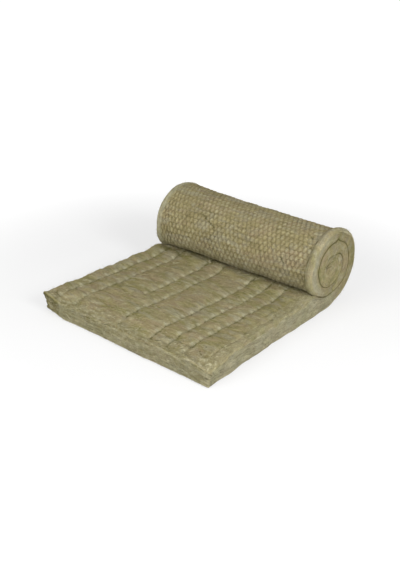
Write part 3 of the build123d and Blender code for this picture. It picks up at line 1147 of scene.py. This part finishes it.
def tube(paths, thickness, sides):
    """The rings of thin tubes: round each point of each path, with a radius of thickness / 2 and in the
    plane square to the path. paths has the shape (tubes, points, 3)."""
    tangent = np.gradient(paths, axis=1)
    tangent = tangent / np.linalg.norm(tangent, axis=-1, keepdims=True)
    side = np.cross(tangent, np.array([0.0, 0.0, 1.0]) + 0 * tangent)
    weak = np.linalg.norm(side, axis=-1, keepdims=True) < 0.2
    side = np.where(weak, np.cross(tangent, np.array([1.0, 0.0, 0.0]) + 0 * tangent), side)
    side = side / np.linalg.norm(side, axis=-1, keepdims=True)
    up = np.cross(side, tangent)
    angle = np.arange(sides) * FULL_TURN / sides
    ring = side[..., None, :] * np.cos(angle)[:, None] + up[..., None, :] * np.sin(angle)[:, None]
    return paths[..., None, :] + ring * thickness / 2


def tube_mesh(name, rings):
    """A mesh of tubes with closed ends from their rings, of shape (tubes, points, sides, 3)."""
    tubes, points, sides = rings.shape[:3]
    numbers = np.arange(tubes * points * sides).reshape(tubes, points, sides)
    ahead = np.roll(numbers, -1, axis=2)
    quads = np.stack([numbers[:, :-1], ahead[:, :-1], ahead[:, 1:], numbers[:, 1:]], -1).reshape(-1, 4)
    first = numbers[:, 0, ::-1]
    last = numbers[:, -1]
    mesh = bpy.data.meshes.new(name)
    mesh.from_pydata(rings.reshape(-1, 3).tolist(), [], quads.tolist() + first.tolist() + last.tolist())
    finish_mesh(mesh)
    return mesh


def netting_runs(faces):
    """Where each wire of the netting runs: its distance in rows, its column, its side of the twist and its
    turn about its twin. It winds round its twin in a twist, then goes to the next column and back."""
    netting = faces.netting
    width = netting.mesh_width
    count = int((faces.net_right - faces.net_left) / (width / 2)) + 1
    rows = int((faces.lie.along_at(faces.mouth_turn) - netting.end_margin + 10 * MM) / netting.row_step)
    wire = np.arange(count)[:, None]
    twist = netting.twist_length / netting.row_step / 2
    in_twist = twist * np.array([-1, -0.5, 0, 0.5, 1])
    beat = np.concatenate([row + in_twist for row in range(1, rows)])
    row = np.round(beat)
    place = beat - row
    lean = (wire + row) % 2
    column = (wire + lean) / 2
    side = np.where(lean == 1, -1.0, 1.0)
    turns_in_twist = 1.25
    spin = place / (2 * twist) * turns_in_twist * FULL_TURN
    return beat, column, side, spin


def make_netting_mesh(faces):
    """The netting as a mesh of thin tubes that lie on the wool in the gaps between its puffs."""
    netting = faces.netting
    beat, column, side, spin = netting_runs(faces)
    x = faces.net_left + column * netting.mesh_width + side * np.cos(spin) * netting.wire * 0.55
    along = netting.end_margin + beat * netting.row_step + 0 * x
    x = x - faces.sway(along, x)
    along = along - faces.creep(along, x)
    x = np.clip(x, faces.net_left + 0.3 * MM, faces.net_right - 0.3 * MM)
    turn, y, z, out_y, out_z = faces.lie.netted_place(along)
    lifted = faces.lifted(turn)
    rise = lifted * (faces.slow_rise(along, x, turn) - 2.6 * MM) - (1 - lifted) * 0.9 * MM
    rise = rise + side * np.sin(spin) * netting.wire * 0.45 + faces.crumple(turn, x)
    y = y + faces.end_inset(along, x, 0.0) + out_y * rise
    paths = stack(x + faces.side_shift(along, x), y, z + out_z * rise)
    return tube_mesh("hexagonal_netting", tube(paths, netting.wire, sides=3))


def make_stitch_mesh(faces, number):
    """One row's stitching wire: on the wool in its crease, diving in at each stitch."""
    stitches = faces.stitches
    start = faces.shape.end_top_round + 6 * MM
    along = np.arange(start, faces.mouth_along() - 4 * MM, stitches.stitch_length / 14)
    x = faces.row_line(number, along)
    top_y, top_z = faces.plain(along, x)[1:3]
    beat = faces.stitch_beat(number, along)
    to_stitch = np.abs(beat - np.round(beat)) * stitches.stitch_length
    dive = 9 * MM * bell(to_stitch, 4 * MM)
    sunk = 0.2 * MM - 1.4 * MM * noise(70 + number, along / 0.035, 0.5)
    paths = stack(x, top_y, top_z - sunk - dive)[None]
    return tube_mesh(f"stitching_row_{number + 1}", tube(paths, stitches.wire, sides=5))


# Loose fibres


FIBRE_SHARE = np.linspace(0, 1, 6)[None]  # the share of a fibre's length at each of its points


def curls(first, second, slant, bend, size):
    """Two coordinates of bent lines that start at (first, second): at a share of its length, a line runs at
    the angle slant + bend * share."""
    angle = slant + bend * FIBRE_SHARE
    step = size / 5
    return first + np.cumsum(np.cos(angle), 1) * step, second + np.cumsum(np.sin(angle), 1) * step


def lying_fibres(faces, count, seed):
    """Paths of fibres that lie on the flat length: each a bent line at a slant to X, a little above the
    wool."""
    rng = np.random.default_rng(seed)
    along = rng.uniform(0.03, faces.mouth_along() - 0.01, count)
    near_end = rng.random(count) < 0.4
    along = np.where(near_end, 0.014 + rng.exponential(0.035, count), along)
    x = rng.uniform(faces.lie.left + 0.004, faces.lie.right - 0.004, count)
    edge = rng.random(count) < 0.2
    x = np.where(edge, faces.lie.right - rng.uniform(0.002, 0.07, count), x)
    near_roll = rng.random(count) < 0.1
    along = np.where(near_roll, faces.mouth_along() - rng.uniform(0.003, 0.03, count), along)
    slant = rng.normal(0.2, 0.45, count)
    slant = np.where(edge & (x > 0.44), slant + np.pi / 2, slant)
    size = rng.uniform(0.015, 0.055, count)
    bend = rng.normal(0, 0.8, count)
    run_x, run_along = curls(*(part[:, None] for part in (x, along, slant, bend, size)))
    run_x = np.clip(run_x, faces.lie.left + 0.002, faces.lie.right - 0.002)
    run_along = np.clip(run_along, 0.014, faces.mouth_along() - 0.002)
    px, y, z = faces.plain(run_along, run_x)[:3]
    lift = 0.3 * MM + rng.exponential(0.5 * MM, (count, 1)) * np.sin(np.pi * FIBRE_SHARE)
    lift = lift + 0.8 * MM * FIBRE_SHARE * rng.random((count, 1))
    return stack(px, y, z + lift)


def end_fibres(faces, count, seed):
    """Paths of fibres on the free end: each lies on its layers or a little before them, roughly along X."""
    rng = np.random.default_rng(seed)
    x = rng.uniform(faces.lie.left, faces.lie.right, count)
    height = rng.uniform(0.01, 0.088, count)
    size = rng.uniform(0.01, 0.04, count)
    slant = rng.normal(0, 0.35, count)
    bend = rng.normal(0, 1.0, count)
    run_x, run_z = curls(*(part[:, None] for part in (x, height, slant, bend, size)))
    run_x = np.clip(run_x, faces.lie.left, faces.lie.right)
    run_z = np.clip(run_z, 0.003, 0.092)
    inset = edge_drop(0.082 - run_z, faces.shape.end_top_round) + faces.end_inset(0, run_x, run_z / 0.1)
    stand = rng.uniform(-0.5 * MM, 3.5 * MM, (count, 1))
    y = faces.lie.free_end + inset - stand - 2 * MM * FIBRE_SHARE * rng.random((count, 1))
    return stack(run_x, y, run_z)


def tuft_fibres(faces, seed):
    """Paths of fibres in curled tufts: along the free end's upper edge, at worn places of the sides and
    along the line where the roll meets the flat length."""
    rng = np.random.default_rng(seed)
    tufts = (  # X, distance along the mat, spread and number of fibres
        (-0.392, 0.014, 0.012, 60), (-0.350, 0.012, 0.020, 90), (-0.240, 0.014, 0.030, 90),
        (-0.455, 0.075, 0.016, 40), (-0.462, 0.215, 0.014, 50), (-0.050, 0.014, 0.040, 90),
        (0.060, 0.014, 0.030, 80), (0.180, 0.016, 0.028, 60), (0.330, 0.022, 0.024, 60),
        (0.455, 0.580, 0.020, 50), (0.462, 0.500, 0.020, 50), (0.430, 0.070, 0.020, 50),
        (-0.285, 0.690, 0.012, 40), (-0.330, 0.800, 0.010, 26), (-0.290, 0.795, 0.012, 30),
        (-0.140, 0.798, 0.012, 26), (-0.060, 0.802, 0.016, 30), (0.050, 0.800, 0.010, 22),
        (0.170, 0.804, 0.012, 24), (0.300, 0.802, 0.012, 22), (0.400, 0.800, 0.014, 26),
    )
    centre = np.array([tuft[:3] for tuft in tufts])
    counts = np.array([tuft[3] for tuft in tufts])
    number = np.repeat(np.arange(len(tufts)), counts)
    total = int(counts.sum())
    x = centre[number, 0] + rng.normal(0, 1, total) * centre[number, 2] * 0.8
    along = np.clip(centre[number, 1] + rng.normal(0, 1, total) * centre[number, 2] * 0.45, 0.013, None)
    x = np.clip(x, faces.lie.left + 0.003, faces.lie.right - 0.003)
    px, y, z = (part[:, None] for part in faces.plain(along, x)[:3])
    slant = rng.uniform(-0.7, 0.9, (total, 1))
    bend = rng.normal(0, 2.2, (total, 1))
    run_x, run_y = curls(px, y, slant, bend, rng.uniform(0.012, 0.034, (total, 1)))
    arch = np.sin(np.pi * FIBRE_SHARE) * rng.uniform(1, 6, (total, 1)) * MM
    return stack(run_x, run_y, z + arch + rng.uniform(0, 1.5, (total, 1)) * MM)


def rim_fibres(faces, count, seed):
    """Paths of short fibres that stand out from the mat's edges: both sides of the flat length and the
    collars of the roll."""
    rng = np.random.default_rng(seed)
    side = np.where(rng.random(count) < 0.5, -1.0, 1.0)
    along = rng.uniform(0.02, faces.lie.along_at(faces.mouth_turn), count)
    edge_x = np.where(side < 0, faces.lie.left, faces.lie.right)
    rolled = along > faces.lie.reach
    inward = rng.uniform(0.001, 0.016, count)
    x = edge_x - side * inward
    top = faces.plain(np.minimum(along, faces.mouth_along()), x)
    outer = faces.netted(along, x)
    turn = faces.lie.turn_at(along)
    out_y, out_z = faces.lie.out(turn)
    root = stack(*(np.where(rolled, outer[axis], top[axis]) for axis in range(3)))
    out = stack(side * 0.8, np.where(rolled, out_y, 0), np.where(rolled, out_z, 0.7))
    lengthwise = stack(0, np.where(rolled, -out_z, 1), np.where(rolled, out_y, 0))
    share = FIBRE_SHARE[..., None]
    size = rng.uniform(0.006, 0.020, (count, 1, 1)) * np.where(rolled, 0.6, 1.0)[:, None, None]
    way = rng.normal(0, 0.35, (count, 1)) * out + rng.normal(0, 1.0, (count, 1)) * lengthwise
    way = way + rng.normal(0, 0.4, (count, 3))
    bend = rng.normal(0, 0.6, (count, 1, 3))
    path = root[:, None] + size * (way[:, None] * share + bend * share**2 - bend * share)
    return path + out[:, None] * 0.6 * MM


def make_fibre_mesh(faces):
    """All loose fibres as thin tapering tubes with three sides, joined in one mesh."""
    paths = np.concatenate([
        lying_fibres(faces, count=2100, seed=301),
        end_fibres(faces, count=1500, seed=302),
        tuft_fibres(faces, seed=303),
        rim_fibres(faces, count=950, seed=304),
    ])
    paths[..., 2] = np.maximum(paths[..., 2], 0.8 * MM)
    rng = np.random.default_rng(305)
    rings = tube(paths, thickness=1.0, sides=3)
    thickness = rng.uniform(0.5, 1.3, (len(paths), 1, 1, 1)) * MM
    taper = np.array([0.5, 0.9, 1.0, 0.9, 0.7, 0.3])[None, :, None, None]
    rings = paths[..., None, :] + (rings - paths[..., None, :]) * thickness * taper
    return tube_mesh("loose_fibres", rings)


# Materials


class Value:
    """An output of a node, which adds, subtracts and multiplies as a number does."""

    def __init__(self, graph, socket):
        self.graph = graph
        self.socket = socket

    def __add__(self, other):
        return self.graph.math("ADD", self, other)

    def __sub__(self, other):
        return self.graph.math("SUBTRACT", self, other)

    def __rsub__(self, other):
        return self.graph.math("SUBTRACT", other, self)

    def __mul__(self, other):
        return self.graph.math("MULTIPLY", self, other)

    def clamp(self, low, high, to_low=0.0, to_high=1.0):
        """Rises smoothly from one value to another between low and high."""
        inputs = {"Value": self, "From Min": low, "From Max": high, "To Min": to_low, "To Max": to_high}
        return self.graph.get("ShaderNodeMapRange", inputs, interpolation_type="SMOOTHSTEP")

    def bump(self, distance, under=0.0):
        """The normal of a surface that this value raises by up to the distance."""
        inputs = {"Height": self, "Distance": distance}
        if under:
            inputs["Normal"] = under
        return self.graph.get("ShaderNodeBump", inputs)


class Graph:
    """Short calls that build nodes. Values may be numbers, colours or outputs of other nodes."""

    def __init__(self, tree):
        self.tree = tree

    def put(self, node, inputs):
        """Links or sets a node's inputs."""
        for key, value in inputs.items():
            if isinstance(value, Value):
                self.tree.links.new(value.socket, node.inputs[key])
            else:
                node.inputs[key].default_value = value

    def add(self, kind, inputs=None, **settings):
        """A new node."""
        made = self.tree.nodes.new(kind)
        for key, value in settings.items():
            setattr(made, key, value)
        self.put(made, inputs or {})
        return made

    def get(self, kind, inputs=None, output=0, **settings):
        """One output of a new node."""
        return Value(self, self.add(kind, inputs, **settings).outputs[output])

    def math(self, operation, first, second=0.0):
        """One step of arithmetic."""
        return self.get("ShaderNodeMath", {0: first, 1: second, 2: 0.0}, operation=operation)

    def place(self):
        """The place on the piece, in metres."""
        return self.get("ShaderNodeTexCoord", output="Object")

    def noise(self, vector, scale, turn=0.0, detail=3.0, roughness=0.55, distortion=0.0):
        """Noise at a scale, or turned about Z and stretched by a scale for each axis."""
        if isinstance(scale, tuple):
            stretched = {"Vector": vector, "Scale": scale, "Rotation": (0, 0, turn)}
            vector = self.get("ShaderNodeMapping", stretched)
            scale = 1.0
        shape = {"Detail": detail, "Roughness": roughness, "Distortion": distortion}
        return self.get("ShaderNodeTexNoise", {"Vector": vector, "Scale": scale, **shape}, "Fac")

    def mix(self, share, first, second):
        """A colour between two, by the share of the second."""
        colours = [colour if isinstance(colour, Value) else (*colour, 1) for colour in (first, second)]
        inputs = {0: share, 6: colours[0], 7: colours[1]}
        return self.get("ShaderNodeMix", inputs, 2, data_type="RGBA", blend_type="MIX")


class Surface(Graph):
    """A material with one shader."""

    def __init__(self, name):
        self.material = bpy.data.materials.new(name)
        self.material.use_nodes = True
        super().__init__(self.material.node_tree)
        self.tree.nodes.clear()
        self.shader = self.add("ShaderNodeBsdfPrincipled")
        self.output = self.add("ShaderNodeOutputMaterial", {0: Value(self, self.shader.outputs[0])})

    def finish(self, **inputs):
        """Fills in the shader's inputs, by their names in small letters."""
        names = {"colour": "Base Color", "specular": "Specular IOR Level"}
        self.put(self.shader, {names.get(key, key.capitalize()): value for key, value in inputs.items()})
        return self.material


def mesh_border(graph, netting):
    """Distance to the nearest wire of the netting, from the place in its meshes, in metres, found as
    WoolFaces.wire_distance finds it."""
    width = netting.mesh_width
    row_height = netting.row_step * drawn_together(netting)
    meshes = graph.get("ShaderNodeUVMap", uv_map="meshes")
    split = graph.add("ShaderNodeSeparateXYZ", {0: meshes})
    column = Value(graph, split.outputs[0])
    row = Value(graph, split.outputs[1])
    found = []
    for shift in (0.0, 1.0):
        half_row = (row - shift) * 0.5
        down = (half_row - graph.math("ROUND", half_row)) * (2 * row_height)
        moved = column - shift / 2
        across = (moved - graph.math("ROUND", moved)) * width
        found.append((across * across + down * down, graph.math("ABSOLUTE", across)))
    (first, first_across), (second, second_across) = found
    spacing = float(np.hypot(width / 2, row_height))
    apart = graph.math("DIVIDE", first - second, 2 * spacing)
    between_rows = graph.math("ABSOLUTE", apart) * 1.5
    first_near = graph.math("LESS_THAN", first, second)
    across = first_near * first_across + (1.0 - first_near) * second_across
    return graph.math("MINIMUM", between_rows, width / 2 - across)


def thin_lines(graph, vector, scale, turn, distortion):
    """Thin curling lines: 1 where a twisted noise is near its middle value, and 0 elsewhere."""
    field = graph.noise(vector, scale, turn, detail=2.0, roughness=0.5, distortion=distortion)
    return graph.math("ABSOLUTE", field - 0.5).clamp(0.0, 0.024, 1.0, 0.0)


def wool_material(look, netting):
    """Stone wool: patches of khaki, brown and green, streaks of fibres that follow the mat, layers on the
    cut faces, painted shade in gaps, creases and holes, painted light from the light mark, and the puffs
    between the netting's wires, with painted shade beside the wires and painted highlights on the puffs."""
    graph = Surface("stone_wool")
    place = graph.place()
    lie = graph.get("ShaderNodeUVMap", uv_map="lie")
    marks = graph.add("ShaderNodeVertexColor", layer_name="marks")
    split = graph.add("ShaderNodeSeparateColor", {0: Value(graph, marks.outputs["Color"])})
    # The marks' channels are the netted share, the paleness of cut wool and painted shade; alpha is painted
    # light.
    netted, cut, painted_shade = (Value(graph, output) for output in split.outputs)
    light = Value(graph, marks.outputs["Alpha"])

    patches = graph.noise(place, (6, 13, 13), distortion=0.7)
    blotches = graph.noise(place, (15, 40, 40), distortion=0.8)
    grain = graph.noise(place, 330.0, roughness=0.7)
    streaks = graph.noise(lie, (14, 95, 1), 0.22, detail=5.0, roughness=0.62, distortion=1.4)
    threads = graph.noise(lie, (55, 480, 1), 0.3, detail=4.0, roughness=0.6, distortion=2.2)
    layers = graph.noise(lie, (15, 170, 1), detail=5.0, roughness=0.65, distortion=0.9)
    clouds = graph.noise(place, (9, 21, 21), distortion=1.0)
    bright_curls = thin_lines(graph, lie, (26, 78, 1), 0.3, 2.0)
    dark_curls = thin_lines(graph, lie, (17, 60, 1), -0.25, 2.6)

    speckle = graph.noise(place, 150.0, detail=2.0)
    mottled = patches * 0.75 + speckle * 0.25
    browned = graph.math("MAXIMUM", mottled.clamp(0.38, 0.62), netted * 0.5)
    colour = graph.mix(browned, look.green, look.brown)
    colour = graph.mix(blotches.clamp(0.38, 0.62, 0.05, 0.5), colour, look.khaki)
    colour = graph.mix(clouds.clamp(0.48, 0.66, 0.0, 0.65), colour, look.grey)
    colour = graph.mix(streaks.clamp(0.52, 0.72) * 0.3, colour, look.pale)
    colour = graph.mix(cut * 0.68, colour, look.pale)
    # Painted light: the light mark mixes towards the pale colour.
    colour = graph.mix(light * 0.8, colour, look.pale)

    tone = streaks.clamp(0.3, 0.7, -0.12, 0.12) + grain.clamp(0.3, 0.7, -0.14, 0.14)
    tone = tone + blotches.clamp(0.3, 0.7, -0.1, 0.1) + threads.clamp(0.3, 0.7, -0.1, 0.1)
    tone = tone + cut * layers.clamp(0.3, 0.7, -0.17, 0.15)
    curls = bright_curls * 0.2 - dark_curls * 0.24
    bare = 1.0 - netted * 0.6 + cut * 0.8
    tone = tone + curls * bare
    border = mesh_border(graph, netting)
    # Painted shade beside the netting's wires and painted highlights on the middles of the puffs.
    puff_highlight = graph.noise(place, 52.0, roughness=0.6).clamp(0.38, 0.62, 0.0, 0.22)
    swell = border.clamp(0.0, 0.0040, -0.12, 0.0) + puff_highlight * border.clamp(0.0045, 0.0105)
    tone = tone + netted * swell + 1.0
    toned = graph.get("ShaderNodeVectorMath", {0: colour, "Scale": tone}, operation="SCALE")
    # Painted shade: the shade mark mixes towards the shade colour.
    colour = graph.mix(painted_shade.clamp(0.0, 1.0, 0.0, 0.8), toned, look.shade)

    coarse = streaks * 0.7 + threads * 0.3 + cut * layers + curls * 0.8
    normal = grain.bump(0.003, coarse.bump(0.008))
    normal = (netted * border.clamp(0.0, 0.004)).bump(0.0012, normal)
    return graph.finish(colour=colour, roughness=0.95, specular=0.12, normal=normal)


def wire_material(name, look, roughness):
    """Dull zinc: a mottled grey with rough patches."""
    graph = Surface(name)
    spangle = graph.noise(graph.place(), 900.0, detail=2.0)
    darker = tuple(0.6 * part for part in look.zinc)
    colour = graph.mix(spangle.clamp(0.35, 0.65), darker, look.zinc)
    rough = spangle.clamp(0.3, 0.7, roughness, roughness + 0.2)
    return graph.finish(colour=colour, roughness=rough, metallic=0.6, normal=spangle.bump(0.0002))


def fibre_material(look):
    """Loose fibres: between the wool's main colour and a pale one, by slow noise."""
    graph = Surface("loose_wool")
    patches = graph.noise(graph.place(), 60.0, detail=2.0)
    colour = graph.mix(patches.clamp(0.38, 0.66), look.khaki, look.fresh)
    return graph.finish(colour=colour, roughness=0.9, specular=0.15)


def seen_directly(graph):
    """1 where the camera looks, also by a mirror or glass, and 0 for light that falls on the mat."""
    path = graph.add("ShaderNodeLightPath").outputs
    seen = Value(graph, path["Is Camera Ray"])
    for name in ("Is Glossy Ray", "Is Transmission Ray"):
        seen = graph.math("MAXIMUM", seen, Value(graph, path[name]))
    return seen


def floor_material():
    """A pale floor that takes the mat's soft shadow and is white to the camera where nothing shades it."""
    graph = Surface("pale_floor")
    graph.tree.nodes.remove(graph.shader)
    diffuse = graph.add("ShaderNodeBsdfDiffuse")
    glow = graph.add("ShaderNodeEmission")
    seen = seen_directly(graph)
    from_middle = graph.get("ShaderNodeVectorMath", {0: graph.place()}, "Value", operation="LENGTH")
    level = from_middle.clamp(0.9, 2.6, 0.62, 0.92)
    graph.put(glow, {"Strength": seen * level})
    graph.put(diffuse, {"Color": graph.mix(seen, (0.75, 0.75, 0.75), (0.3, 0.3, 0.3))})
    shaders = {number: Value(graph, node.outputs[0]) for number, node in enumerate((diffuse, glow))}
    graph.put(graph.output, {0: graph.get("ShaderNodeAddShader", shaders)})
    return graph.material


# Operators


def wool_faces(scene):
    """The wool's faces, from the sizes in the sidebar."""
    return WoolFaces(scene.mat_shape, scene.netting_shape, scene.stitch_shape)


class MAT_OT_wool(bpy.types.Operator):
    """Makes the wool of the mat as one closed, padded piece"""

    bl_idname = "wired_mat.wool"
    bl_label = "Wool"

    def execute(self, context):
        scene = context.scene
        mesh = WoolShell(wool_faces(scene)).build()
        material = wool_material(scene.wool_look, scene.netting_shape)
        piece = place_piece("wool_blanket", mesh, material, ["wool_mat"])
        return {"FINISHED"}


class MAT_OT_netting(bpy.types.Operator):
    """Makes the hexagonal wire netting on the wool's netted face"""

    bl_idname = "wired_mat.netting"
    bl_label = "Netting"

    def execute(self, context):
        scene = context.scene
        mesh = make_netting_mesh(wool_faces(scene))
        material = wire_material("galvanised_wire", scene.wool_look, 0.42)
        place_piece("hexagonal_netting", mesh, material, ["wire_netting"])
        return {"FINISHED"}


class MAT_OT_stitching(bpy.types.Operator):
    """Makes the stitching wire of each row"""

    bl_idname = "wired_mat.stitching"
    bl_label = "Stitching"

    def execute(self, context):
        scene = context.scene
        faces = wool_faces(scene)
        material = wire_material("stitching_wire", scene.wool_look, 0.5)
        for number, node in enumerate(STITCH_NODES):
            mesh = make_stitch_mesh(faces, number)
            place_piece(mesh.name, mesh, material, [node])
        return {"FINISHED"}


class MAT_OT_fibres(bpy.types.Operator):
    """Makes the loose fibres and tufts on the wool"""

    bl_idname = "wired_mat.fibres"
    bl_label = "Loose fibres"

    def execute(self, context):
        scene = context.scene
        mesh = make_fibre_mesh(wool_faces(scene))
        place_piece("loose_fibres", mesh, fibre_material(scene.wool_look), [])
        return {"FINISHED"}


class MAT_OT_stage(bpy.types.Operator):
    """Makes the pale floor, the soft lights and the camera"""

    bl_idname = "wired_mat.stage"
    bl_label = "Stage"

    def execute(self, context):
        scene = context.scene
        make_floor(scene)
        make_lights(scene)
        make_camera(scene)
        scene.view_settings.view_transform = "Standard"
        return {"FINISHED"}


def make_floor(scene):
    """A flat floor below the mat, large enough to fill every view."""
    size = 30.0
    mesh = bpy.data.meshes.new("floor")
    corners = [(-size, -size, 0), (size, -size, 0), (size, size, 0), (-size, size, 0)]
    mesh.from_pydata(corners, [], [(0, 1, 2, 3)])
    mesh.materials.append(floor_material())
    floor = bpy.data.objects.new("floor", mesh)
    scene.collection.objects.link(floor)


def add_area_light(scene, name, place, aim, size, power):
    """A square soft light at a place, turned to its aim."""
    lamp = bpy.data.lights.new(name, "AREA")
    lamp.size = size
    lamp.energy = power
    item = bpy.data.objects.new(name, lamp)
    item.location = place
    item.rotation_euler = (Vector(aim) - Vector(place)).to_track_quat("-Z", "Y").to_euler()
    scene.collection.objects.link(item)


def make_lights(scene):
    """A bright even world, a large soft light from the right and above, and a weak one from the front."""
    world = bpy.data.worlds.new("studio")
    world.use_nodes = True
    graph = Graph(world.node_tree)
    levels = {"Value": seen_directly(graph), "To Min": 0.48, "To Max": 1.0}
    strength = graph.get("ShaderNodeMapRange", levels)
    graph.put(graph.tree.nodes["Background"], {"Color": (1, 1, 1, 1), "Strength": strength})
    scene.world = world
    middle = (0, 0, 0.15)
    add_area_light(scene, "key", (3.6, -0.9, 2.2), middle, size=1.6, power=138)
    add_area_light(scene, "fill", (-0.6, -3.6, 1.9), middle, size=2.0, power=92)


def make_camera(scene):
    """The camera at the photograph's viewing angle, from a fit to the outline of the mat."""
    lens_on_long_side = 744.5 / 570
    yaw, pitch, roll = np.radians((38.506, 25.162, -2.077))
    place = Vector((2.0722, -2.6381, 1.6678))
    level = Vector((-np.sin(yaw), np.cos(yaw), 0))
    ahead = level * np.cos(pitch) + Vector((0, 0, -np.sin(pitch)))
    right = Vector((np.cos(yaw), np.sin(yaw), 0))
    down = ahead.cross(right)
    turned_right = right * np.cos(roll) + down * np.sin(roll)
    turned_down = down * np.cos(roll) - right * np.sin(roll)
    lens = bpy.data.cameras.new("camera")
    lens.sensor_width = 36
    lens.lens = 36 * lens_on_long_side
    camera = bpy.data.objects.new("camera", lens)
    axes = Matrix((turned_right, -turned_down, -ahead)).transposed()
    camera.matrix_world = Matrix.Translation(place) @ axes.to_4x4()
    scene.collection.objects.link(camera)
    scene.camera = camera


class MAT_PT_sidebar(bpy.types.Panel):
    """The sizes, colours and steps of the wired mat"""

    bl_idname = "MAT_PT_sidebar"
    bl_label = "Wired mat"
    bl_space_type = "VIEW_3D"
    bl_region_type = "UI"
    bl_category = "Wired mat"

    def draw(self, context):
        scene = context.scene
        for step in STEPS:
            self.layout.operator(step.bl_idname)
        for group in (scene.mat_shape, scene.netting_shape, scene.stitch_shape, scene.wool_look):
            for name in group.__annotations__:
                self.layout.prop(group, name)


STEPS = (MAT_OT_stage, MAT_OT_wool, MAT_OT_netting, MAT_OT_stitching, MAT_OT_fibres)
GROUPS = {
    "mat_shape": MatShape,
    "netting_shape": NettingShape,
    "stitch_shape": StitchShape,
    "wool_look": WoolLook,
}


def register():
    """Registers the sizes, the steps and the sidebar."""
    for name, group in GROUPS.items():
        bpy.utils.register_class(group)
        setattr(bpy.types.Scene, name, bpy.props.PointerProperty(type=group))
    for item in (*STEPS, MAT_PT_sidebar):
        bpy.utils.register_class(item)


def unregister():
    """Takes them away again, the last one first."""
    for item in (MAT_PT_sidebar, *reversed(STEPS)):
        bpy.utils.unregister_class(item)
    for name, group in reversed(list(GROUPS.items())):
        delattr(bpy.types.Scene, name)
        bpy.utils.unregister_class(group)


def main():
    """Registers the add-on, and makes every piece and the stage."""
    register()
    bpy.ops.wired_mat.stage()
    bpy.ops.wired_mat.wool()
    bpy.ops.wired_mat.netting()
    bpy.ops.wired_mat.stitching()
    bpy.ops.wired_mat.fibres()


if __name__ == "__main__":
    main()
